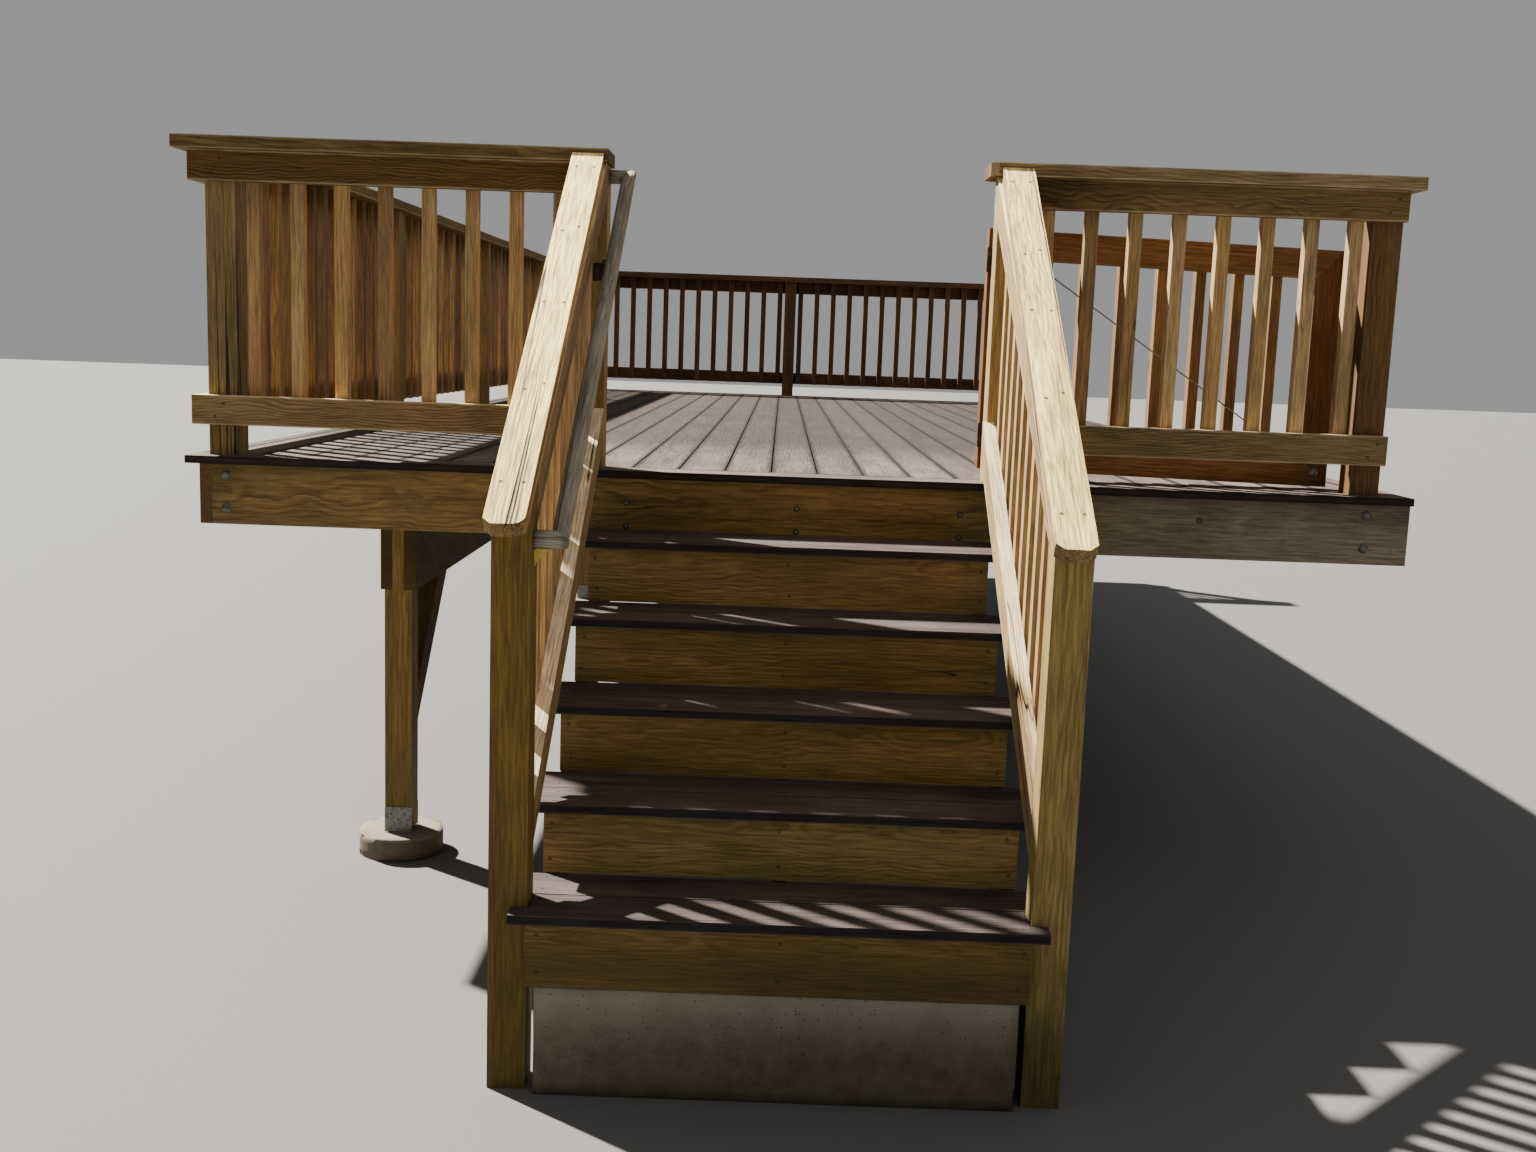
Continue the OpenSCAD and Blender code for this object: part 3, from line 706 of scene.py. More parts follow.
@dataclass(frozen=True)
class Composite(Finish):
    """Embossed wood and plastic boards, chalked by the sun where they are trodden; towards the stairs they
    are lighter, partly scuffed and partly a painted sheen, and further back darker as painted shade.

    Attributes:
        body: Colour of the board.
        chalk: Colour of the bleached and scuffed film.
        chalk_up: Share of that film on faces that look up.
        groove: Colour in the embossed grain.
        edge: Colour along the arrises: painted shade of the gaps where it is dark, wear where it is light.
        edge_share: How much of that colour shows.
        edge_width: How far it reaches from an arris.
        foot: Share of damp that rises from the ground.
        path: How much lighter the boards are near the stairs, partly scuffed and partly a painted sheen, with
            painted shade further back.
    """

    body: Rgb
    chalk: Rgb
    chalk_up: float
    groove: Rgb
    edge: Rgb
    edge_share: float
    edge_width: float
    foot: float = 0.0
    path: float = 0.0

    def draw(self, graph: Graph, shader: Shader) -> None:
        """Lay the embossed grain, the scuffs and the chalk over each other, with the painted sheen and shade
        along the deck and the colour of the arrises.

        Args:
            graph: The material's tree.
            shader: The shader that is fed.
        """
        board = BoardPlace().put(graph, Arris_Width=self.edge_width)
        grime = Grime().put(graph, Size=4.5)
        own = board["Own Place"]
        broad = graph.drawn(own, 1.6, 16.0, 3.0)
        scuff = graph.drawn(own, 60.0, 300.0)
        groove = graph.fade(graph.drawn(own, 5.5, 210.0, 4.0, 0.62), 0.52, 0.36)
        # Lighter towards the stairs: partly real scuffing, partly a painted sheen near them, with painted
        # shade further back.
        worn_and_lit = graph.fade(graph.split(graph.coordinate("Object"))[1], *WORN_AND_LIT_BAND)
        chalk = graph.times(board["Up"], self.chalk_up)
        chalk = graph.scaled(chalk, graph.fade(broad, 0.25, 0.75), 0.55, 1.2)
        chalk = graph.scaled(chalk, worn_and_lit, 1.0, 1.0 + self.path)
        chalk = graph.scaled(chalk, groove, 1.0, 0.45, clamp=True)
        colour = graph.blend(groove, self.body, self.groove)
        colour = graph.blend(chalk, colour, self.chalk)
        # Along the arrises: on the deck boards a near-black painted shade of the gaps between them, on the
        # treads light wear.
        colour = graph.coat(colour, self.edge, board["Arris"], self.edge_share)
        tone = graph.span(board["Tone"], 0.86, 1.14)
        colour = graph.shaded(colour, tone, tone, tone)
        colour = graph.coat(colour, self.groove, grime["Blotch"], 0.3)
        colour = graph.coat(colour, self.groove, grime["Damp Foot"], self.foot)
        height = graph.less(graph.times(scuff, 0.2), groove)
        self.surface(graph, shader, colour, graph.span(scuff, 0.66, 0.9), height, depth=0.0005, gloss=0.15)


@dataclass(frozen=True)
class Metal(Finish):
    """Zinc coated, painted or bare metal.

    Attributes:
        base: Colour of the sound surface.
        worn: Colour of the worn or oxidised places.
        metallic: How metallic the sound surface is.
        rough: Its roughness.
        wear: Share of worn places.
        grain: Size of the spangle or blotches in cells a metre.
    """

    base: Rgb
    worn: Rgb
    metallic: float
    rough: float
    wear: float
    grain: float = 160.0

    def draw(self, graph: Graph, shader: Shader) -> None:
        """Break the surface into spangle and worn blotches.

        Args:
            graph: The material's tree.
            shader: The shader that is fed.
        """
        place = graph.coordinate("Object")
        cell = graph.add("ShaderNodeTexVoronoi", {"Vector": place, "Scale": self.grain})
        spangle = graph.split(cell.outputs["Color"])[0]
        cloud = graph.noise(place, 70.0, 4.0, 0.65)
        blotch = graph.fade(cloud, 0.62 - 0.3 * self.wear, 0.7 - 0.2 * self.wear)
        tone = graph.span(spangle, 0.8, 1.12)
        colour = graph.blend(blotch, graph.shaded(self.base, tone, tone, tone), self.worn)
        graph.feed(shader.inputs["Metallic"], graph.span(blotch, self.metallic, 0.25 * self.metallic))
        rough = graph.span(spangle, self.rough - 0.07, self.rough + 0.07)
        rough = graph.plus(rough, graph.times(blotch, 0.25))
        self.surface(graph, shader, colour, rough, graph.noise(place, 260.0, 3.0), depth=0.0002)


@dataclass(frozen=True)
class Concrete(Finish):
    """Cast concrete with pores, stains and a damp foot, its pores and its sides darkened as painted shade.

    Attributes:
        pale: Colour of the dry cement skin.
        dark: Colour of the stains.
        soil_and_shade: Colour of the earth that clings to the foot, also laid up the sides as painted shade.
    """

    pale: Rgb
    dark: Rgb
    soil_and_shade: Rgb

    def draw(self, graph: Graph, shader: Shader) -> None:
        """Scatter sand, pores and stains, and darken the pores and the sides as painted shade.

        Args:
            graph: The material's tree.
            shader: The shader that is fed.
        """
        place = graph.coordinate("Object")
        grime = Grime().put(graph, Size=7.0)
        sand = graph.noise(place, 420.0, 3.0, 0.7)
        pores = graph.add("ShaderNodeTexVoronoi", {"Vector": place, "Scale": 95.0}).outputs
        pore = graph.fade(pores["Distance"], 0.22, 0.1)
        pore = graph.times(pore, graph.math("GREATER_THAN", graph.split(pores["Color"])[0], 0.72))
        colour = graph.coat(self.pale, self.dark, grime["Blotch"], 0.4)
        tone = graph.span(sand, 0.8, 1.2)
        colour = graph.shaded(colour, tone, tone, tone)
        # Faces that do not look up take more of the earth colour: real earth at the foot, painted shade up
        # the sides.
        face = graph.fade(graph.split(graph.coordinate("Normal"))[2], 0.7, 0.3)
        soil_and_shade = graph.scaled(grime["Low"], graph.noise(place, 23.0, 5.0, 0.7), 0.5, 1.2)
        soil_and_shade = graph.scaled(soil_and_shade, face, 0.35, 1.0, clamp=True)
        colour = graph.blend(soil_and_shade, colour, self.soil_and_shade)
        # The pores are darkened as painted shade in their pits.
        colour = graph.coat(colour, darker(self.dark, 0.35), pore, 0.8)
        height = graph.less(graph.times(sand, 0.5), pore)
        self.surface(graph, shader, colour, graph.span(sand, 0.82, 0.98), height, depth=0.0022)


FRAMING = Timber("framing timber", Slot.TREATED, (0.165, 0.1, 0.024), (0.06, 0.033, 0.007),
                 (0.15, 0.11, 0.05), contrast=0.7, damp=0.4, moss=0.6)
RIM = Timber("rim timber", Slot.TREATED, (0.212, 0.133, 0.029), (0.075, 0.041, 0.008), (0.22, 0.195, 0.145),
             film_side=0.12, ring=0.009, contrast=0.68, damp=0.3, wall_film=0.65, wave=0.6)
RISER = Timber("riser timber", Slot.TREATED, (0.24, 0.153, 0.041), (0.09, 0.05, 0.012), (0.22, 0.175, 0.08),
               ring=0.009, contrast=0.62, wave=0.8, cracks=0.3, knots=0.8, damp=0.35, moss=0.5, foot=0.6,
               spread=0.1)
PALE_RISER = Timber("pale riser timber", Slot.TREATED, (0.26, 0.18, 0.055), (0.1, 0.062, 0.018),
                    (0.26, 0.22, 0.12), ring=0.009, contrast=0.6, wave=0.8, cracks=0.3, knots=0.8, damp=0.3,
                    spread=0.05)
POST = Timber("post timber", Slot.TREATED, (0.29, 0.192, 0.064), (0.12, 0.071, 0.021), (0.3, 0.245, 0.135),
              contrast=0.5, cracks=0.6, open=1.8, damp=0.18, moss=0.8, foot=0.2, short=0.3)
# The left lower newel is a darker copy of the post timber: partly its own olive colour, partly painted shade
# that offsets the brighter light from the floor on that side.
MOSSY_SHADED_POST = Timber("mossy post timber", Slot.TREATED, (0.162, 0.096, 0.013), (0.068, 0.037, 0.005),
                    (0.19, 0.13, 0.04), contrast=0.4, cracks=0.66, open=2.2, damp=0.18, moss=0.8, foot=0.2,
                    short=0.3)
PALE_POST = Timber("pale post timber", Slot.TREATED, (0.228, 0.154, 0.039), (0.096, 0.06, 0.013),
                   (0.27, 0.2, 0.08), contrast=0.5, cracks=0.5, open=1.8, damp=0.18, moss=0.8, foot=0.2,
                   short=0.3)
RED_POST = Timber("red post timber", Slot.TREATED, (0.15, 0.072, 0.019), (0.06, 0.026, 0.007),
                  (0.19, 0.11, 0.045), contrast=0.65, cracks=0.5, damp=0.18)
BALUSTER = Timber("baluster timber", Slot.TREATED, (0.44, 0.275, 0.105), (0.17, 0.095, 0.033),
                  (0.4, 0.3, 0.17), ring=0.0045, contrast=0.65, knots=0.5, damp=0.08, spread=0.24)
SIDE_BALUSTER = Timber("side baluster timber", Slot.TREATED, (0.265, 0.157, 0.058), (0.09, 0.045, 0.015),
                       (0.33, 0.24, 0.13), film_side=0.08, ring=0.0045, contrast=0.75, knots=0.5, damp=0.1,
                       spread=0.34)
# The front top rails are a darker copy of the low rail timber, as painted shade under the caps that overhang
# them.
SHADED_TOP_RAIL = Timber("rail timber", Slot.TREATED, (0.122, 0.062, 0.009), (0.034, 0.016, 0.003), (0.8, 0.62, 0.36),
              film_up=0.9, film_side=0.015, ring=0.0085, contrast=1.0, damp=0.15, wall_film=0.09, wave=1.0)
LOW_RAIL = Timber("low rail timber", Slot.TREATED, (0.165, 0.114, 0.041), (0.06, 0.035, 0.011),
                  (0.8, 0.64, 0.4), film_up=0.9, film_side=0.05, ring=0.0085, contrast=0.9, damp=0.2,
                  wall_film=0.06, wave=0.7)
# Sloped rails: a pale weathered film on top, raised brighter as painted sunlight for the sun patches that
# fall on them.
STAIR_RAIL = Timber("stair rail timber", Slot.TREATED, (0.26, 0.155, 0.05), (0.09, 0.045, 0.014),
                    (0.95, 0.78, 0.5), film_up=0.95, film_side=0.08, ring=0.006, contrast=0.8, damp=0.15)
LEVEL_CAP = Timber("level cap timber", Slot.TREATED, (0.158, 0.095, 0.022), (0.06, 0.032, 0.007),
                   (0.62, 0.48, 0.28), film_up=0.75, film_side=0.04, contrast=0.7, damp=0.2, wall_film=0.14)
# Sloped caps: a pale weathered film on top, pushed brighter than real wood as a painted highlight of the sun,
# and dark sides that are partly painted shade.
SLOPED_CAP = Timber("sloped cap timber", Slot.TREATED, (0.32, 0.21, 0.085), (0.12, 0.07, 0.024),
                    (1.0, 0.77, 0.335), film_up=0.96, film_side=0.06, ring=0.006, contrast=0.8, cracks=0.8,
                    open=2.6, damp=0.12, streak=0.5, short=0.4)
STAINED = Timber("stained timber", Slot.STAINED, (0.13, 0.06, 0.022), (0.055, 0.023, 0.008),
                 (0.16, 0.09, 0.045), film_side=0.1, contrast=0.5)
GATE_WOOD = Timber("gate timber", Slot.GATE, (0.205, 0.108, 0.04), (0.088, 0.042, 0.014), (0.27, 0.165, 0.08),
                   film_up=0.4, film_side=0.1, contrast=0.6, knots=0.7, damp=0.15)
# The gate's stiles are a darker copy of the gate timber, as painted shade of the brace across them.
SHADED_GATE_FRAME = Timber("gate frame timber", Slot.GATE, (0.14, 0.058, 0.015), (0.064, 0.025, 0.007),
                    (0.21, 0.11, 0.042), film_up=0.4, film_side=0.08, contrast=0.65, knots=0.7, damp=0.15)
GRIP = Timber("handrail timber", Slot.WEATHERED, (0.25, 0.205, 0.14), (0.1, 0.08, 0.055), (0.41, 0.38, 0.315),
              film_up=0.75, film_side=0.56, ring=0.004, contrast=0.7, cracks=0.6, damp=0.25, short=0.5)
# Deck boards: lighter towards the stairs through path, partly scuffing and partly a painted sheen, with
# painted shade further back.
DECKING = Composite("deck board", Slot.COMPOSITE, body=(0.045, 0.031, 0.027), chalk=(0.2, 0.15, 0.127),
                    # edge, edge_share and edge_width: near-black arrises, painted shade of the gaps between
                    # the boards.
                    chalk_up=0.14, groove=(0.02, 0.014, 0.012), edge=(0.01, 0.008, 0.007), edge_share=1.0,
                    edge_width=0.016, path=4.9)
TREAD = Composite("tread board", Slot.COMPOSITE, body=(0.026, 0.0215, 0.0245), chalk=(0.275, 0.195, 0.168),
                  chalk_up=0.36, groove=(0.014, 0.0115, 0.0125), edge=(0.3, 0.228, 0.2), edge_share=0.2,
                  edge_width=0.004, foot=0.35)
PLATE_ZINC = Metal("weathered zinc", Slot.STEEL, base=(0.21, 0.225, 0.215), worn=(0.12, 0.115, 0.095),
                   metallic=0.55, rough=0.5, wear=0.4)
DULL_ZINC = Metal("dull zinc", Slot.STEEL, base=(0.17, 0.165, 0.155), worn=(0.07, 0.055, 0.04),
                  metallic=0.7, rough=0.58, wear=0.45)
SCREW = Metal("screw coat", Slot.STEEL, base=(0.028, 0.024, 0.02), worn=(0.02, 0.014, 0.01),
              metallic=0.35, rough=0.6, wear=0.5, grain=900.0)
ROPE = Metal("wire rope", Slot.STEEL, base=(0.3, 0.3, 0.3), worn=(0.1, 0.085, 0.07),
             metallic=0.9, rough=0.4, wear=0.3, grain=700.0)
IRON = Metal("black iron", Slot.IRON, base=(0.012, 0.012, 0.013), worn=(0.1, 0.05, 0.025),
             metallic=0.4, rough=0.42, wear=0.12)
BRASS = Metal("dull brass", Slot.BRACKET, base=(0.62, 0.47, 0.1), worn=(0.3, 0.22, 0.06),
              metallic=0.45, rough=0.42, wear=0.25)
HOOK_IRON = Metal("hook iron", Slot.BRACKET, base=(0.02, 0.016, 0.013), worn=(0.06, 0.035, 0.02),
                  metallic=0.5, rough=0.5, wear=0.2)
# The dark earth colour of the casting also serves as painted shade on its sides.
CEMENT = Concrete("cast concrete", Slot.CONCRETE, pale=(0.3, 0.27, 0.2), dark=(0.15, 0.125, 0.075),
                  soil_and_shade=(0.085, 0.064, 0.035))


def connected(mesh: Loose) -> Iterator[Faces]:
    """Yield the faces of each separate solid of a mesh.

    Args:
        mesh: The mesh of all the solids.

    Yields:
        The faces of one solid after another.
    """
    left = set(mesh.faces)
    for first in mesh.faces[:]:
        if first not in left:
            continue
        left.discard(first)
        group, waiting = [], [first]
        while waiting:
            face = waiting.pop()
            group.append(face)
            for edge in face.edges:
                for other in edge.link_faces:
                    if other in left:
                        left.discard(other)
                        waiting.append(other)
        yield group


def planar_copy(obj: Thing) -> Loose:
    """Return a frame node's mesh with its triangles joined into flat faces.

    Args:
        obj: The node's object.

    Returns:
        A loose mesh, which the caller frees.
    """
    mesh = bmesh.new()
    mesh.from_mesh(obj.data)
    bmesh.ops.remove_doubles(mesh, verts=mesh.verts, dist=1e-5)
    bmesh.ops.dissolve_limit(mesh, angle_limit=math.radians(1.0), verts=mesh.verts, edges=mesh.edges)
    return mesh


def loose_block(group: Faces, radius: float, flats: int, sharp: float) -> Loose:
    """Return one solid as a mesh of its own, with its arrises rounded.

    Args:
        group: The faces of the solid.
        radius: Radius of the rounding.
        flats: Number of flats in it.
        sharp: Least angle of an edge that is rounded, in degrees.

    Returns:
        A loose mesh, which the caller frees.
    """
    loose = bmesh.new()
    index = {}
    for face in group:
        for vert in face.verts:
            if vert not in index:
                index[vert] = loose.verts.new(vert.co)
        loose.faces.new([index[v] for v in face.verts])
    least = math.radians(sharp)
    edges = [e for e in loose.edges if len(e.link_faces) == 2 and e.calc_face_angle(0.0) > least]
    made = bmesh.ops.bevel(loose, geom=edges, offset=radius, segments=flats, profile=0.5,
                           affect="EDGES", clamp_overlap=True)
    for face in made["faces"]:
        face.smooth = True
    return loose


def cross_cut(loose: Loose, axis: Vector, low: float, length: float, step: float) -> None:
    """Cut a mesh across an axis into equal lengths of a step at most.

    Args:
        loose: The mesh.
        axis: Direction along which the cuts are spaced.
        low: Where the mesh begins along it.
        length: How long the mesh is along it.
        step: Longest stretch between two cuts.
    """
    cuts = int(length / step)
    for i in range(cuts):
        at = low + length * (i + 1) / (cuts + 1)
        everything = loose.verts[:] + loose.edges[:] + loose.faces[:]
        bmesh.ops.bisect_plane(loose, geom=everything, plane_co=axis * at, plane_no=axis, dist=1e-6)


def solid_boxes(frame: Frame, node: str) -> list[Box]:
    """Return the lowest and highest corner of each solid of a frame node.

    Args:
        frame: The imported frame.
        node: Name of the node.

    Returns:
        Both corners of each solid.
    """
    source = planar_copy(frame["nodes"][node])
    boxes = []
    for group in connected(source):
        points = [v.co for f in group for v in f.verts]
        boxes.append(tuple(Vector([pick(p[i] for p in points) for i in range(3)]) for pick in (min, max)))
    source.free()
    return boxes


def circle(middle: Vector, u: Vector, v: Vector, radius: float, flats: int) -> list[Vector]:
    """Return points round a circle, from the direction u towards v."""
    turns = [math.tau * k / flats for k in range(flats)]
    return [middle + (u * math.cos(turn) + v * math.sin(turn)) * radius for turn in turns]


def rounded(middle: Vector, across: Vector, above: Vector,
            width: float, height: float, corner: float) -> list[Vector]:
    """Return the outline of a rectangle with rounded corners.

    Args:
        middle: Middle of the rectangle.
        across: Direction of its width.
        above: Direction of its height.
        width: Its size across.
        height: Its size above.
        corner: Radius of its corners.

    Returns:
        Its corners in order, from across towards above.
    """
    outline = []
    for quarter in range(4):
        sx = 1 if quarter in (0, 3) else -1
        sy = 1 if quarter in (0, 1) else -1
        for k in range(5):
            turn = math.tau * (quarter + k / 4) / 4
            u = sx * (width / 2 - corner) + corner * math.cos(turn)
            v = sy * (height / 2 - corner) + corner * math.sin(turn)
            outline.append(middle + across * u + above * v)
    return outline


@dataclass
class Piece:
    """A mesh in the making, with what each point carries to its finish.

    Attributes:
        name: Name of the piece.
        finish: What it is dressed in.
        body: Body that it rides on.
        points: Its points.
        faces: The points of each face.
        soft: Whether each face is shaded smooth.
        carried: What its points carry, by name.
    """

    name: str
    finish: Finish
    body: Body = Body.DECK
    points: list[Vector] = field(default_factory=list)
    faces: list[list[int]] = field(default_factory=list)
    soft: list[bool] = field(default_factory=list)
    carried: dict[str, list[float]] = field(default_factory=lambda: {label: [] for label in CARRIED})

    def carry(self, **vectors: Iterable[float]) -> None:
        """Add one point's vectors under their names."""
        for label, values in vectors.items():
            self.carried[label].extend(values)

    def skin(self, base: int, flats: int,
             soft: bool = True, soft_ends: bool = False, closed: bool = False) -> None:
        """Join rings of points into a tube.

        Args:
            base: Number of the first point of the first ring. The last point of all ends the last ring.
            flats: Number of points in a ring.
            soft: Whether its sides are shaded smooth.
            soft_ends: Whether its ends are shaded smooth.
            closed: Whether its last ring joins its first.
        """
        rings = (len(self.points) - base) // flats
        for i in range(rings if closed else rings - 1):
            row, upper = base + i * flats, base + (i + 1) % rings * flats
            for k in range(flats):
                j = (k + 1) % flats
                self.faces.append([row + k, row + j, upper + j, upper + k])
                self.soft.append(soft)
        if not closed:
            for row, order in ((base, -1), (base + (rings - 1) * flats, 1)):
                self.faces.append([row + k for k in range(flats)][::order])
                self.soft.append(soft_ends)

    def lathe(self, at: Vector, axis: Vector, profile: Profile, flats: int = 20) -> None:
        """Add a turned shape.

        Args:
            at: Where its axis starts.
            axis: Direction of its axis.
            profile: Radius and height of each ring, from the first to the last.
            flats: Number of points round it.
        """
        aside = axis.orthogonal().normalized()
        other = axis.cross(aside)
        base = len(self.points)
        for radius, height in profile:
            self.points += circle(at + axis * height, aside, other, radius, flats)
        self.skin(base, flats, soft_ends=True)

    def sweep(self, path: list[Vector], radius: float, flats: int = 6, closed: bool = False) -> None:
        """Add a round wire.

        Args:
            path: Points along its middle.
            radius: Radius of the wire.
            flats: Number of points round it.
            closed: Whether its last point joins its first.
        """
        base = len(self.points)
        count = len(path)
        side = Vector()
        for i, point in enumerate(path):
            before = path[i - 1] if i or closed else point
            after = path[(i + 1) % count] if i + 1 < count or closed else point
            along = (after - before).normalized()
            side = side - along * side.dot(along) if side.length > 0 else along.orthogonal()
            side.normalize()
            self.points += circle(point, side, along.cross(side), radius, flats)
        self.skin(base, flats, closed=closed)

    def plate(self, outline: list[Vector], out: Vector, thick: float, ease: float = 0.0008) -> None:
        """Add a flat plate with eased edges.

        Args:
            outline: Corners of its back face, counter-clockwise as seen from its front.
            out: Direction from its back to its front.
            thick: Thickness of the plate.
            ease: How far the edges are eased.
        """
        middle = sum(outline, Vector()) / len(outline)
        base = len(self.points)
        for inset, height in ((ease, 0.0), (0.0, ease), (0.0, thick - ease), (ease, thick)):
            for corner in outline:
                self.points.append(corner + (middle - corner).normalized() * inset * 1.4 + out * height)
        self.skin(base, len(outline), soft=False)

    def link(self, replaced: Iterable[str] = ()) -> Thing:
        """Make the object, dress it and let it ride.

        Args:
            replaced: The frame nodes that it stands for.

        Returns:
            The new object.
        """
        mesh = bpy.data.meshes.new(self.name)
        mesh.from_pydata([tuple(p) for p in self.points], [], self.faces)
        mesh.polygons.foreach_set("use_smooth", self.soft)
        for label, values in self.carried.items():
            if len(values) == 3 * len(self.points):
                layer = mesh.attributes.new(label, "FLOAT_VECTOR", "POINT")
                layer.data.foreach_set("vector", values)
        mesh.materials.append(self.finish.material())
        mesh.validate()
        obj = bpy.data.objects.new(self.name, mesh)
        bpy.context.scene.collection.objects.link(obj)
        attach(obj, self.body.value)
        replaced = tuple(replaced)
        if replaced:
            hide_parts(*replaced)
        LOG.info("%s: %d points, %d faces", self.name, len(self.points), len(self.faces))
        return obj


@dataclass
class Lumber:
    """Boards cut from the solids of frame nodes.

    Attributes:
        name: Name of the piece.
        nodes: Frame nodes that it stands for.
        finish: What it is dressed in.
        body: Body that it rides on.
        arris: Radius that the edges are rounded to.
        rounds: Number of flats in that rounding.
        sharp: Least angle of an edge that is rounded, in degrees.
        wander: How far a face strays inwards from straight.
        step: Longest stretch of a board between two cross cuts.
        axis: Number of the axis along which boards are chosen.
        least: Only boards whose middle lies beyond this place are cut.
        most: Only boards whose middle lies before this place are cut.
    """

    name: str
    nodes: tuple[str, ...]
    finish: Finish
    body: Body = Body.DECK
    arris: float = 0.0025
    rounds: int = 2
    sharp: float = 20.0
    wander: float = 0.0007
    step: float = 0.4
    axis: int = 0
    least: float = -math.inf
    most: float = math.inf

    def build(self, frame: Frame) -> Thing:
        """Cut every board and link them as one piece.

        Args:
            frame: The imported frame.

        Returns:
            The new object.
        """
        piece = Piece(self.name, self.finish, self.body)
        chance = random.Random(self.name)
        for node in self.nodes:
            source = planar_copy(frame["nodes"][node])
            for group in list(connected(source)):
                reach = [v.co[self.axis] for face in group for v in face.verts]
                if self.least < (min(reach) + max(reach)) / 2 < self.most:
                    self.cut(group, piece, chance)
            source.free()
        return piece.link(self.nodes)

    def cut(self, group: Faces, piece: Piece, chance: random.Random) -> None:
        """Round one board's arrises, cross cut it, let it wander and add it to the piece.

        Args:
            group: The faces of the board's solid.
            piece: The piece that takes it.
            chance: The source of the board's luck.
        """
        axes = self.axes(group)
        board = loose_block(group, self.arris, self.rounds, self.sharp)
        reach = [sorted(v.co.dot(a) for v in board.verts) for a in axes]
        middle = [(r[0] + r[-1]) / 2 for r in reach]
        half = [(r[-1] - r[0]) / 2 for r in reach]
        cross_cut(board, axes[0], middle[0] - half[0], 2 * half[0], self.step)
        draw = (chance.random(), chance.random(), chance.random())
        first = len(piece.points)
        for i, vert in enumerate(board.verts):
            vert.index = i
            place = [vert.co.dot(a) - m for a, m in zip(axes, middle)]
            self.stray(place, half, draw)
            piece.points.append(sum((a * (p + m) for a, p, m in zip(axes, place, middle)), Vector()))
            piece.carry(place=place, half=half, axis=axes[0], draw=draw)
        for face in board.faces:
            piece.faces.append([first + v.index for v in face.verts])
            piece.soft.append(face.smooth)
        board.free()

    def axes(self, group: Faces) -> list[Vector]:
        """Return the directions along, across and through a board.

        Args:
            group: The faces of the board's solid.

        Returns:
            The three directions.
        """
        edges = [e for face in group for e in face.edges]
        longest = max(edges, key=lambda e: e.calc_length())
        along = (longest.verts[1].co - longest.verts[0].co).normalized()
        sides = [f for f in group if abs(f.normal.dot(along)) < 0.1]
        broad = max(sides, key=lambda f: f.calc_area())
        through = (broad.normal - along * broad.normal.dot(along)).normalized()
        if sum(along) < 0:
            along = -along
        return [along, through.cross(along), through]

    def stray(self, place: list[float], half: list[float], draw: tuple[float, float, float]) -> None:
        """Move a point inwards a little, by how its board bows along its length.

        Args:
            place: The point's place on its board, which is changed.
            half: Half sizes of the board.
            draw: The board's luck.
        """
        for k in (1, 2):
            side = 1.0 if place[k] > 0 else -1.0
            at = Vector((place[0] * 2.3 + draw[0] * 50, side * 3.0 + k * 7.0, draw[1] * 50))
            place[k] -= side * min(self.wander, 0.02 * half[k]) * (0.5 + 0.5 * noise.noise(at))


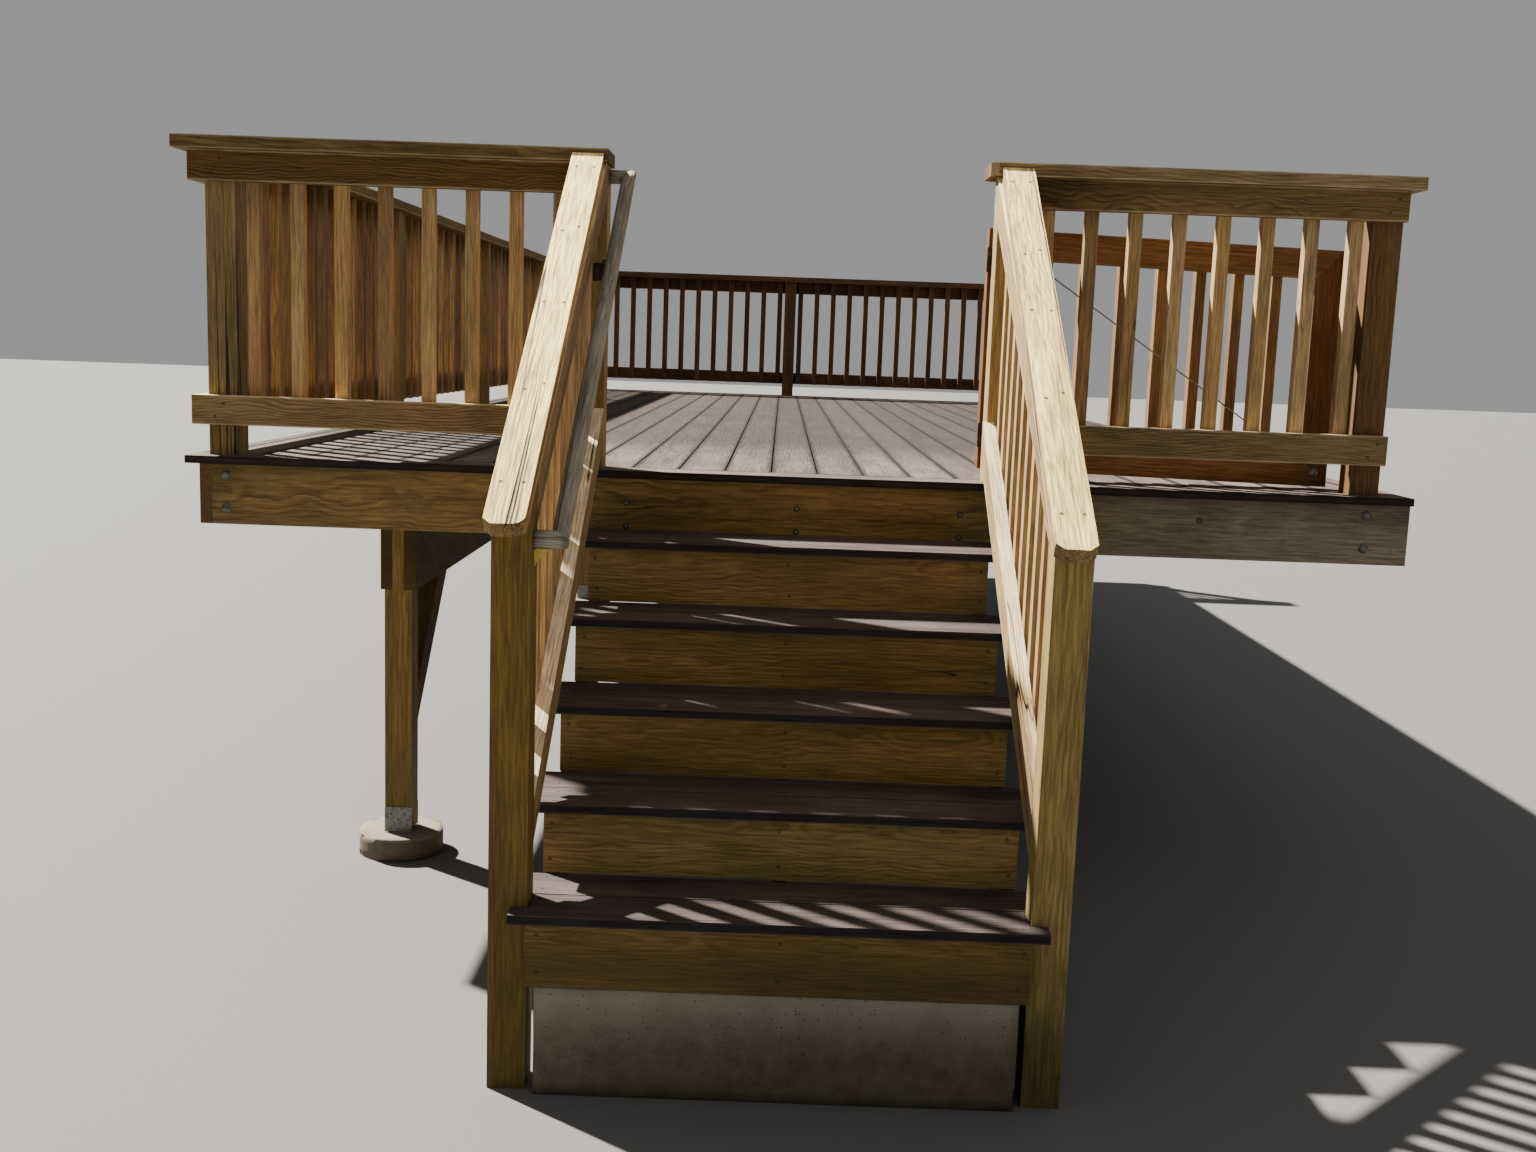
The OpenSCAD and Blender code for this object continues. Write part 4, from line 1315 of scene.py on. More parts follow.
@dataclass
class Woodwork:
    """All the boards of the deck, its stairs, railings and gate.

    Attributes:
        frame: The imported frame.
    """

    frame: Frame

    def lumber(self) -> list[Lumber]:
        """Return every run of boards, from the ground up.

        Returns:
            The runs in the order in which they are cut.
        """
        return [
            Lumber("post_base_plates", ("post_bases",), PLATE_ZINC, arris=0.0012, wander=0.0),
            Lumber("ledger_board", ("house_ledger",), FRAMING, step=1.2, wander=0.0),
            Lumber("beam_boards", ("beam_plies",), FRAMING),
            Lumber("beam_post_timbers", ("beam_posts",), PALE_POST, arris=0.004),
            Lumber("knee_brace_timbers", ("knee_braces",), FRAMING, arris=0.004),
            Lumber("joist_boards", ("joists",), FRAMING, step=1.2),
            Lumber("header_board", ("stair_header",), FRAMING),
            Lumber("rim_boards", ("end_rims",), RIM, arris=0.003),
            Lumber("band_board", ("side_band",), RIM, arris=0.003),
            Lumber("stringer_boards", ("stringers",), FRAMING),
            Lumber("riser_boards", ("risers",), RISER, arris=0.002, axis=2, least=-0.65),
            Lumber("second_riser_board", ("risers",), PALE_RISER, arris=0.002, axis=2,
                   least=-0.83, most=-0.65),
            Lumber("bottom_riser_board", ("risers",), RISER, arris=0.002, axis=2, most=-0.83),
            # The left newel takes the darker copy, partly painted shade against the brighter light from the
            # floor.
            Lumber("left_newel_timber", ("lower_newels",), MOSSY_SHADED_POST, arris=0.004, step=0.15, wander=0.0012,
                   most=-1.9),
            Lumber("right_newel_timber", ("lower_newels",), PALE_POST, arris=0.004, step=0.15, wander=0.0012,
                   least=-1.9),
            Lumber("upper_newel_timbers", ("upper_newels",), POST, arris=0.004, step=0.2),
            Lumber("side_post_timbers", ("rail_posts",), POST, arris=0.004, most=-3.0),
            Lumber("back_post_timber", ("rail_posts",), STAINED, arris=0.004, least=-3.0, most=-0.5),
            Lumber("wall_post_timbers", ("rail_posts",), RED_POST, arris=0.004, least=-0.5),
            Lumber("sloped_cap_boards", ("stair_caps",), SLOPED_CAP, arris=0.005, rounds=3, step=0.1,
                   wander=0.0015),
            Lumber("sloped_rail_boards", ("stair_rails",), STAIR_RAIL, arris=0.003),
            Lumber("stair_baluster_sticks", ("stair_balusters",), BALUSTER),
            Lumber("front_cap_boards", ("front_caps",), LEVEL_CAP, arris=0.004, rounds=3),
            Lumber("side_cap_board", ("side_cap",), LEVEL_CAP, arris=0.004),
            Lumber("back_cap_board", ("back_cap",), STAINED, arris=0.004),
            # The top rails take the darker copy as painted shade under the caps.
            Lumber("front_top_rails", ("front_rails",), SHADED_TOP_RAIL, arris=0.003, axis=2, least=0.5),
            Lumber("front_low_rails", ("front_rails",), LOW_RAIL, arris=0.003, axis=2, most=0.5),
            Lumber("side_rail_boards", ("side_rails",), LOW_RAIL, arris=0.003),
            Lumber("back_rail_boards", ("back_rails",), STAINED, arris=0.003),
            Lumber("front_baluster_sticks", ("front_balusters",), BALUSTER),
            Lumber("side_baluster_sticks", ("side_balusters",), SIDE_BALUSTER),
            Lumber("back_baluster_sticks", ("back_balusters",), STAINED),
            # The stiles take the darker copy as painted shade of the brace.
            Lumber("gate_stile_boards", ("gate_stiles",), SHADED_GATE_FRAME, Body.GATE, arris=0.003),
            Lumber("gate_rail_boards", ("gate_rails",), GATE_WOOD, Body.GATE, arris=0.003),
            Lumber("gate_baluster_sticks", ("gate_balusters",), GATE_WOOD, Body.GATE),
            Lumber("deck_planks", ("deck_boards",), DECKING, arris=0.003, step=0.8),
            Lumber("border_planks", ("deck_borders",), DECKING, arris=0.004, rounds=3),
            Lumber("tread_planks", ("treads", "bottom_tread"), TREAD, arris=0.004, rounds=3, step=0.2),
        ]

    def build(self) -> None:
        """Cut and dress every run of boards."""
        for run in self.lumber():
            run.build(self.frame)


@dataclass
class RoundRail:
    """The round handrail with a level return to each newel, mitred at its corners.

    Attributes:
        radius: Radius of the rail.
        flats: Number of points round it.
        step: Spacing of its rings.
        wander: How far its surface strays inwards.
    """

    radius: float = 0.021
    flats: int = 28
    step: float = 0.04
    wander: float = 0.0008

    def build(self) -> Thing:
        """Lay the lower return, the run and the upper return.

        Returns:
            The new object.
        """
        low, high = (Vector(corner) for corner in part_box("handrail"))
        r = self.radius
        foot = Vector((high.x - r, low.y + r, low.z + r))
        head = Vector((high.x - r, high.y - r, high.z - r))
        run = (head - foot).normalized()
        reach = foot.x - low.x
        piece = Piece("handrail_stick", GRIP)
        self.bar(piece, foot - RIGHT * reach, RIGHT, run, (0.0, 0.0), (reach, -1.0))
        self.bar(piece, foot, run, RIGHT, (0.0, -1.0), ((head - foot).length, 1.0))
        self.bar(piece, head, LEFT, run, (0.0, -1.0), (reach, 0.0))
        return piece.link(("handrail",))

    def bar(self, piece: Piece, start: Vector, along: Vector, across: Vector,
            first: tuple[float, float], last: tuple[float, float]) -> None:
        """Add a straight bar whose ends may be cut on the slant.

        Args:
            piece: The piece that takes it.
            start: Where its axis begins.
            along: Direction of the axis.
            across: Direction in which its cuts slant.
            first: Distance of its first end along the axis, and the cut's slope across it.
            last: The same for its other end.
        """
        through = along.cross(across)
        rings = max(2, int((last[0] - first[0]) / self.step))
        draw = (0.37 + 0.1 * along.x, 0.62, 0.41 + 0.2 * along.x)
        half = ((last[0] - first[0]) / 2, self.radius, self.radius)
        base = len(piece.points)
        for i in range(rings + 1):
            share = i / rings
            for k in range(self.flats):
                turn = math.tau * k / self.flats
                cos, sin = math.cos(turn), math.sin(turn)
                sway = noise.noise(Vector((3.0 * share * rings * self.step, cos, sin + draw[0])))
                r = self.radius - self.wander * (0.5 + 0.5 * sway)
                u, w = r * cos, r * sin
                t0, t1 = first[0] + first[1] * u, last[0] + last[1] * u
                t = t0 + (t1 - t0) * share
                piece.points.append(start + along * t + across * u + through * w)
                piece.carry(place=(t - half[0], u, w), half=half, axis=along, draw=draw)
        piece.skin(base, self.flats)


def hinge_foot(frame: Frame) -> Vector:
    """Return the point of the gate's hinge axis at height 0."""
    hinge = next(joint for joint in frame["joints"] if joint["name"] == "gate_hinge")
    return Vector((hinge["pos_m"][0], hinge["pos_m"][1], 0.0))


def opened(point: Vector) -> Vector:
    """Return a point of the shut gate, from its hinge, where the open gate has it."""
    return Matrix.Rotation(math.radians(-OPEN_ANGLE), 3, "Z") @ point


@dataclass
class BraceCable:
    """The gate's wire rope, with an eye at each end and an open turnbuckle near its low end.

    The points are taken from the shut gate, from its hinge, and turned to where the gate stands.

    Attributes:
        frame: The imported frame.
        high: Upper eye, from the hinge's axis.
        low: Lower eye, from the hinge's axis.
        rope: Radius of the rope.
        lay: Length in which a strand goes once round.
        strands: Number of strands.
        links: Number of straight links in one lay.
        hook: Distance of the rope's end from an eye.
        buckle: Length of the turnbuckle.
        buckle_at: Its distance from the lower eye.
        wire: Radius of the rings and of the turnbuckle's bars.
        apart: Distance of those bars from its middle.
        ring: Radius of a ring.
        stand: How far an eye stands off the gate.
        ferrule: Outline of the sleeves on the rope.
        collar: Outline of the turnbuckle's ends.
        washer: Outline of the washer under an eye.
        nut: Outline of the nut on it.
    """

    frame: Frame
    high: tuple[float, float, float] = (-0.054, 0.0017, 0.8322)
    low: tuple[float, float, float] = (-1.0675, 0.0017, 0.1675)
    rope: float = 0.0024
    lay: float = 0.024
    strands: int = 3
    links: int = 9
    hook: float = 0.018
    buckle: float = 0.12
    buckle_at: float = 0.06
    wire: float = 0.0019
    apart: float = 0.0055
    ring: float = 0.008
    stand: float = 0.011
    ferrule: Profile = ((0.003, 0.0), (0.0042, 0.001), (0.0042, 0.008), (0.003, 0.009))
    collar: Profile = ((0.0045, 0.0), (0.0075, 0.001), (0.0078, 0.004), (0.0066, 0.008), (0.0078, 0.012),
                       (0.0045, 0.016))
    washer: Profile = ((0.0125, 0.0), (0.0128, 0.0008), (0.012, 0.0018), (0.006, 0.002))
    nut: Profile = ((0.0062, 0.0), (0.0065, 0.0006), (0.0065, 0.0042), (0.0035, 0.005))

    def build(self) -> None:
        """Lay the rope, its eyes and its turnbuckle."""
        piece = Piece("brace_cable", ROPE, Body.GATE)
        foot = hinge_foot(self.frame)
        high, low = (opened(Vector(eye)) + foot for eye in (self.high, self.low))
        outward = opened(BACK)
        along = (low - high).normalized()
        aside = along.cross(outward)
        length = (low - high).length
        top = length - self.buckle_at - self.buckle
        for number in range(self.strands):
            path = []
            for i in range(int(top / self.lay * self.links) + 1):
                t = self.hook + i * self.lay / self.links
                if t > top:
                    break
                turn = math.tau * (t / self.lay + number / self.strands)
                off = outward * math.cos(turn) + aside * math.sin(turn)
                path.append(high + along * t + off * self.rope * 0.52)
            piece.sweep(path, self.rope * 0.48, 5)
        for z in (0.018, 0.034, top - 0.03, top - 0.014):
            piece.lathe(high + along * z, along, self.ferrule, 10)
        for start, stop in ((top - 0.014, top + 0.03), (top + self.buckle - 0.03, length - 0.012)):
            stud = ((0.0022, 0.0), (0.0025, 0.001), (0.0025, stop - start))
            piece.lathe(high + along * start, along, stud, 10)
        for z in (top, top + self.buckle - 0.016):
            piece.lathe(high + along * z, along, self.collar, 14)
        for side in (-self.apart, self.apart):
            path = [high + along * (top + t) + aside * side for t in (0.006, 0.04, 0.08, self.buckle - 0.006)]
            piece.sweep(path, self.wire, 8)
        for at in (high, low):
            self.eye(piece, at, outward, along, aside)
        piece.link(("gate_cable",))

    def eye(self, piece: Piece, at: Vector, outward: Vector, along: Vector, aside: Vector) -> None:
        """Add a washer, a nut and a ring that the rope is hooked into.

        Args:
            piece: The piece that takes it.
            at: Middle of the ring.
            outward: Direction away from the gate.
            along: Direction of the rope.
            aside: Direction across the rope.
        """
        foot = at - outward * self.stand
        piece.lathe(foot, outward, self.washer, 20)
        piece.lathe(foot + outward * 0.0018, outward, self.nut, 6)
        piece.sweep(circle(at, along, aside, self.ring, 18), self.wire, 7, closed=True)


@dataclass
class RailIrons:
    """The hook that carries the handrail and the brace under its lower return.

    Attributes:
        frame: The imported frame.
        rod: Radius of the hook's rod.
        bend: Radius of the bend in the rod.
        sheet: Thickness of the brace.
        web: Share of the brace's legs that its web reaches.
        apart: Least distance along the deck between the brace and the hook.
        collar: Outline of the collar on the rod.
        rivet: Outline of a rivet in the hook's plate.
    """

    frame: Frame
    rod: float = 0.0055
    bend: float = 0.014
    sheet: float = 0.0035
    web: float = 0.85
    apart: float = 0.1
    collar: Profile = ((0.0105, 0.0), (0.0105, 0.002), (0.0075, 0.005), (0.0056, 0.0055))
    rivet: Profile = ((0.0045, -0.001), (0.0045, 0.0004), (0.0032, 0.0016), (0.001, 0.002))

    def build(self) -> None:
        """Forge the hook and fold the brace."""
        boxes = solid_boxes(self.frame, "handrail_brackets")
        foot = min(low.y for low, _ in boxes) + self.apart
        self.hook([box for box in boxes if box[0].y > foot])
        self.brace([box for box in boxes if box[0].y <= foot])

    def hook(self, boxes: list[Box]) -> None:
        """Add a plate on the newel, a bent rod and a saddle under the rail.

        Args:
            boxes: The solids that the hook is made of.
        """
        piece = Piece("handrail_hook", HOOK_IRON)
        low, high = min(boxes, key=lambda box: box[0].x)
        arm = max(boxes, key=lambda box: box[1].x - box[0].x)
        end = max(boxes, key=lambda box: box[1].z)
        middle = Vector((low.x, (low.y + high.y) / 2, (low.z + high.z) / 2))
        outline = rounded(middle, BACK, ABOVE, high.y - low.y, high.z - low.z, 0.007)
        piece.plate(outline, RIGHT, high.x - low.x)
        rise = (arm[0].z + arm[1].z) / 2
        stem = (end[0].x + end[1].x) / 2
        path = [Vector((high.x - 0.001, middle.y, rise))]
        for k in range(7):
            turn = math.pi / 2 * k / 6
            path.append(Vector((stem - self.bend + self.bend * math.sin(turn), middle.y,
                                rise + self.bend - self.bend * math.cos(turn))))
        path.append(Vector((stem, middle.y, end[1].z - 0.003)))
        piece.sweep(path, self.rod, 12)
        piece.lathe(path[0], RIGHT, self.collar, 16)
        for dz in (-0.017, 0.017):
            piece.lathe(Vector((high.x, middle.y, middle.z + dz)), RIGHT, self.rivet, 12)
        run = Vector((0.0, 1.0, RAIL_SLOPE)).normalized()
        seat = Vector((stem, middle.y, end[1].z - 0.0028))
        piece.plate(rounded(seat, RIGHT, run, 0.02, 0.042, 0.006), RIGHT.cross(run), 0.0026)
        piece.link(("handrail_brackets",))

    def brace(self, boxes: list[Box]) -> None:
        """Add a leg on the newel, a shelf under the return and a web between them.

        Args:
            boxes: The solids that the brace is made of.
        """
        piece = Piece("return_brace", BRASS)
        leg = max(boxes, key=lambda box: box[1].z - box[0].z)
        shelf = max(boxes, key=lambda box: box[1].x - box[0].x)
        y = (leg[0].y + leg[1].y) / 2
        tall, wide = leg[1].z - leg[0].z, shelf[1].x - leg[0].x
        width = leg[1].y - leg[0].y
        middle = Vector((leg[0].x, y, leg[0].z + tall / 2))
        piece.plate(rounded(middle, BACK, ABOVE, width, tall, 0.005), RIGHT, self.sheet)
        middle = Vector((leg[0].x + wide / 2, y, leg[1].z - self.sheet))
        piece.plate(rounded(middle, RIGHT, BACK, wide, width, 0.005), ABOVE, self.sheet)
        corner = Vector((leg[0].x + 0.001, y + self.sheet / 2, leg[1].z - 0.001))
        web = [corner - ABOVE * tall * self.web, corner + RIGHT * wide * self.web, corner]
        piece.plate(web, FORWARD, self.sheet)
        piece.link(("handrail_brackets",))


@dataclass
class Fasteners:
    """Screws, nails and bolts that hold the boards and irons.

    Attributes:
        frame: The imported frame.
        head: Radius of a screw's head.
        sunk: How far the heads in a cap are sunk.
        washer: Outline of the dark washers in the rim.
        middle: Outline of the dull heads in those washers.
        dome: Outline of a carriage bolt's head over its washer.
        rim_pairs: Places of the pairs of rim screws, from the middle of the stairs.
        rim_drops: How far the two screws of a pair lie below the top of the rim.
        rim_single: Place and drop of the rim screw that stands alone.
        stick_rows: Distances of a baluster's screws from its nearer end.
        least: Height of the least leaf or base plate that takes screws.
    """

    frame: Frame
    head: float = 0.0042
    sunk: float = 0.0006
    washer: Profile = ((0.0092, -0.0012), (0.009, 0.0002), (0.0076, 0.0009), (0.005, 0.0011))
    middle: Profile = ((0.0052, 0.0006), (0.005, 0.0016), (0.0038, 0.0022), (0.0017, 0.0008))
    dome: Profile = ((0.0148, 0.0), (0.015, 0.0007), (0.0142, 0.0016), (0.0118, 0.0019), (0.0116, 0.0028),
                     (0.0104, 0.0045), (0.0082, 0.0058), (0.0052, 0.0066), (0.002, 0.0069))
    rim_pairs: tuple[float, ...] = (-0.494, 0.021, 0.515)
    rim_drops: tuple[float, float] = (0.076, 0.146)
    rim_single: tuple[float, float] = (1.237, 0.067)
    stick_rows: tuple[float, float] = (0.022, 0.066)
    least: float = 0.05

    def build(self) -> None:
        """Drive all of them."""
        self.screws("board_screws", self.board_spots(), SCREW)
        self.screws("tread_screws", self.tread_spots(), SCREW)
        self.screws("base_nails", self.base_spots(), SCREW)
        rim = self.rim_spots()
        self.turned("rim_washers", rim, SCREW, self.washer, 18)
        self.turned("rim_screws", rim, PLATE_ZINC, self.middle, 14)
        self.screws("newel_leaf_screws", self.leaf_spots("hinge_newel_leaves"), IRON)
        self.screws("gate_leaf_screws", self.leaf_spots("hinge_gate_leaves"), IRON, Body.GATE)
        self.turned("bolt_heads", self.bolt_spots(), DULL_ZINC, self.dome, 28, replaced=("carriage_bolts",))

    def screws(self, name: str, spots: list[Spot], finish: Finish, body: Body = Body.DECK) -> None:
        """Add a dished head with a recess at each spot.

        Args:
            name: Name of the piece.
            spots: Place and outward direction of each.
            finish: What it is dressed in.
            body: Body that it rides on.
        """
        r = self.head
        shape = ((r * 1.02, -0.0012), (r, 0.0001), (0.92 * r, 0.0005), (0.5 * r, 0.0003), (0.34 * r, -0.0009))
        self.turned(name, spots, finish, shape, 10, body)

    def turned(self, name: str, spots: list[Spot], finish: Finish, shape: Profile, flats: int,
               body: Body = Body.DECK, replaced: Iterable[str] = ()) -> None:
        """Add a piece that has the same turned shape at each spot.

        Args:
            name: Name of the piece.
            spots: Place and outward direction of each.
            finish: What it is dressed in.
            shape: Outline of the turned shape.
            flats: Number of points round it.
            body: Body that it rides on.
            replaced: The frame nodes that it stands for.
        """
        piece = Piece(name, finish, body)
        for at, out in spots:
            piece.lathe(at, out, shape, flats)
        piece.link(replaced)

    def solids(self, node: str) -> list[Box]:
        """Return the lowest and highest corner of each solid of a node."""
        return solid_boxes(self.frame, node)

    def board_spots(self) -> list[Spot]:
        """Return where boards are screwed to what carries them.

        Returns:
            Place and outward direction of each.
        """
        sticks = self.stick_spots("front_balusters", BACK) + self.stick_spots("back_balusters", FORWARD)
        sticks += self.stick_spots("side_balusters", RIGHT)
        caps = self.level_cap_spots() + self.sloped_cap_spots()
        return self.rail_spots() + sticks + self.riser_spots() + caps

    def rail_spots(self) -> list[Spot]:
        """Return the screws that hold the front and side rails to their posts.

        Returns:
            Place and outward direction of each.
        """
        spots = []
        posts = self.solids("rail_posts") + self.solids("upper_newels")
        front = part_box("front_rails")[0][1]
        for low, high in self.solids("front_rails"):
            for a, b in posts:
                if a.y < front + 0.15 and high.x > a.x + 0.02 and low.x < b.x - 0.02:
                    middle = (max(a.x, low.x) + min(b.x, high.x)) / 2
                    spots += [(Vector((middle - 0.012, low.y, low.z + 0.025)), FORWARD),
                              (Vector((middle + 0.014, low.y, high.z - 0.024)), FORWARD)]
        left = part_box("side_rails")[0][0]
        for low, high in self.solids("side_rails"):
            for a, b in posts:
                if a.x < left + 0.15 and b.z > high.z - 0.1:
                    middle = (a.y + b.y) / 2
                    spots += [(Vector((low.x, middle - 0.013, low.z + 0.026)), LEFT),
                              (Vector((low.x, middle + 0.012, high.z - 0.025)), LEFT)]
        return spots

    def stick_spots(self, node: str, side: Vector) -> list[Spot]:
        """Return the screws in the balusters of a node, on the side that is named.

        Args:
            node: Name of the balusters' node.
            side: The side that the screws are on.

        Returns:
            Place and outward direction of each.
        """
        spots = []
        for low, high in self.solids(node):
            middle = (low + high) / 2
            reach = (high - low) / 2
            at = Vector((middle.x + side.x * reach.x, middle.y + side.y * reach.y, 0.0))
            near, far = self.stick_rows
            for z in (low.z + near, low.z + far, high.z - far, high.z - near):
                spots.append((Vector((at.x, at.y, z)), side))
        return spots

    def riser_spots(self) -> list[Spot]:
        """Return the screws that hold the risers to the stringers.

        Returns:
            Place and outward direction of each.
        """
        spots = []
        for low, high in self.solids("risers"):
            for x in (low.x + 0.022, (low.x + high.x) / 2, high.x - 0.022):
                for z in (low.z + 0.035, high.z - 0.032):
                    spots.append((Vector((x + 0.006 * math.sin(90 * (x + z)), low.y, z)), FORWARD))
        return spots

    def level_cap_spots(self) -> list[Spot]:
        """Return the pairs of screws along the level caps.

        Returns:
            Place and outward direction of each.
        """
        spots = []
        for node in ("front_caps", "back_cap"):
            for low, high in self.solids(node):
                count = max(2, round((high.x - low.x) / 0.42))
                for i in range(count):
                    x = low.x + 0.05 + (high.x - low.x - 0.1) * i / (count - 1)
                    for dx, dy in ((0.0, 0.052), (0.01, 0.09)):
                        spots.append((Vector((x + dx, low.y + dy, high.z - self.sunk)), ABOVE))
        for low, high in self.solids("side_cap"):
            for i in range(19):
                y = low.y + 0.25 + (high.y - low.y - 0.5) * i / 18
                for dx, dy in ((0.055, 0.0), (0.095, 0.01)):
                    spots.append((Vector((low.x + dx, y + dy, high.z - self.sunk)), ABOVE))
        return spots

    def sloped_cap_spots(self) -> list[Spot]:
        """Return the pairs of screws along the sloped caps.

        Returns:
            Place and outward direction of each.
        """
        out = Vector((0.0, -RAIL_SLOPE, 1.0)).normalized()
        spots = []
        for low, high in self.solids("stair_caps"):
            left = low.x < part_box("stair_footing")[0][0]
            shares = (0.085, 0.3, 0.52, 0.74, 0.95) if left else (0.07, 0.33, 0.55, 0.72, 0.95)
            source = self.frame["nodes"]["stair_caps"].data.vertices
            points = [v.co for v in source if low.x - 1e-4 <= v.co.x <= high.x + 1e-4]
            level = max(p.dot(out) for p in points)
            for number, share in enumerate(shares):
                y = low.y + (high.y - low.y) * share
                near = self.middle_of(points, y, low, high)
                for side in (-1, 1):
                    x = near + side * (0.025 - 0.004 * (number % 2))
                    at = Vector((x, y + 0.01 * side * (number % 2), 0.0))
                    at.z = (level - at.y * out.y) / out.z
                    spots.append((at, out))
        return spots

    def middle_of(self, points: list[Vector], y: float, low: Vector, high: Vector) -> float:
        """Return the middle of a sloped cap at a given y.

        Args:
            points: The points of the cap.
            y: Where its middle is wanted.
            low: Its lowest corner.
            high: Its highest corner.

        Returns:
            The x of its middle.
        """
        foot = [p.x for p in points if p.y < low.y + 0.06]
        head = [p.x for p in points if p.y > high.y - 0.02]
        share = (y - low.y) / (high.y - low.y)
        return (min(foot) + max(foot)) / 2 * (1 - share) + (min(head) + max(head)) / 2 * share

    def rim_spots(self) -> list[Spot]:
        """Return the screws in the front rim that the reference view shows.

        Returns:
            Place and outward direction of each.
        """
        low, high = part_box("end_rims")
        middle = sum(corner[0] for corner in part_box("lower_newels")) / 2
        places = [(x, drop) for x in self.rim_pairs for drop in self.rim_drops] + [self.rim_single]
        return [(Vector((middle + x, low[1], high[2] - drop)), FORWARD) for x, drop in places]

    def tread_spots(self) -> list[Spot]:
        """Return the screws that hold the treads to the stringers.

        Returns:
            Place and outward direction of each.
        """
        spots = []
        strings = [(low.x + high.x) / 2 for low, high in self.solids("stringers")]
        for node in ("treads", "bottom_tread"):
            for low, high in self.solids(node):
                for x in strings:
                    for y in (low.y + 0.032, high.y - 0.03):
                        spots.append((Vector((x + 0.005 * math.sin(70 * (y + x)), y, high.z)), ABOVE))
        return spots

    def base_spots(self) -> list[Spot]:
        """Return the nails in the plates of the post bases.

        Returns:
            Place and outward direction of each.
        """
        spots = []
        for low, high in self.solids("post_bases"):
            if high.z - low.z < self.least:
                continue
            for y, side in ((low.y, FORWARD), (high.y, BACK)):
                for dx, dz in ((0.022, 0.022), (0.067, 0.022), (0.045, 0.042)):
                    spots.append((Vector((low.x + dx, y, high.z - dz)), side))
        return spots

    def leaf_spots(self, node: str) -> list[Spot]:
        """Return the screws in the leaves of the hinges.

        Args:
            node: Name of the leaves' node.

        Returns:
            Place and outward direction of each.
        """
        spots = []
        hinge = hinge_foot(self.frame)
        newel = node == "hinge_newel_leaves"
        for low, high in self.solids(node):
            if high.z - low.z < self.least:
                continue
            for dx, share in ((0.032, 0.16), (0.021, 0.5), (0.032, 0.84)):
                at = hinge + (Vector((dx, -0.006, 0.0)) if newel else opened(Vector((-dx, -0.0063, 0.0))))
                at.z = low.z + (high.z - low.z) * share
                spots.append((at, BACK if newel else opened(BACK)))
        return spots

    def bolt_spots(self) -> list[Spot]:
        """Return where the carriage bolts stand behind the rim's face."""
        return [(Vector(((low.x + high.x) / 2, high.y, (low.z + high.z) / 2)), FORWARD)
                for low, high in self.solids("carriage_bolts")]


@dataclass
class Castings:
    """The concrete piers and the block under the foot of the flight.

    Attributes:
        frame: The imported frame.
        arris: Radius of the worn edges.
        rounds: Number of flats in that rounding.
        sharp: Least angle of an edge that is rounded, in degrees.
        cell: Size of the faces that the surface is cut into.
        rough: How far the surface strays inwards.
    """

    frame: Frame
    arris: float = 0.009
    rounds: int = 3
    sharp: float = 40.0
    cell: float = 0.03
    rough: float = 0.0045

    def build(self) -> None:
        """Cast each of them."""
        for name, node in (("cast_piers", "piers"), ("cast_block", "stair_footing")):
            piece = Piece(name, CEMENT)
            source = planar_copy(self.frame["nodes"][node])
            for group in list(connected(source)):
                self.cast(group, piece)
            source.free()
            piece.link((node,))

    def cast(self, group: Faces, piece: Piece) -> None:
        """Round the edges of one casting, cut it up and let its faces stray inwards.

        Args:
            group: The faces of the casting's solid.
            piece: The piece that takes it.
        """
        casting = loose_block(group, self.arris, self.rounds, self.sharp)
        for axis in (RIGHT, BACK, ABOVE):
            reach = [v.co.dot(axis) for v in casting.verts]
            cross_cut(casting, axis, min(reach), max(reach) - min(reach), self.cell)
        casting.normal_update()
        base = len(piece.points)
        for i, vert in enumerate(casting.verts):
            vert.index = i
            broad, fine = (noise.noise(vert.co * scale) for scale in (9.0, 41.0))
            depth = self.rough * (0.5 + 0.35 * broad + 0.25 * fine)
            piece.points.append(vert.co - vert.normal * max(0.0, depth))
        for face in casting.faces:
            piece.faces.append([base + v.index for v in face.verts])
            piece.soft.append(True)
        casting.free()


@dataclass
class Dressing:
    """Frame nodes whose shape is right and that only need a finish.

    Attributes:
        frame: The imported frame.
        nodes: Names of the nodes.
        finish: What they are dressed in.
    """

    frame: Frame
    nodes: tuple[str, ...] = ("hinge_newel_leaves", "hinge_pins", "hinge_gate_leaves")
    finish: Finish = IRON

    def build(self) -> None:
        """Give each node its finish."""
        for node in self.nodes:
            mesh = self.frame["nodes"][node].data
            mesh.materials.clear()
            mesh.materials.append(self.finish.material())
            LOG.info("%s: %s", node, self.finish.name)


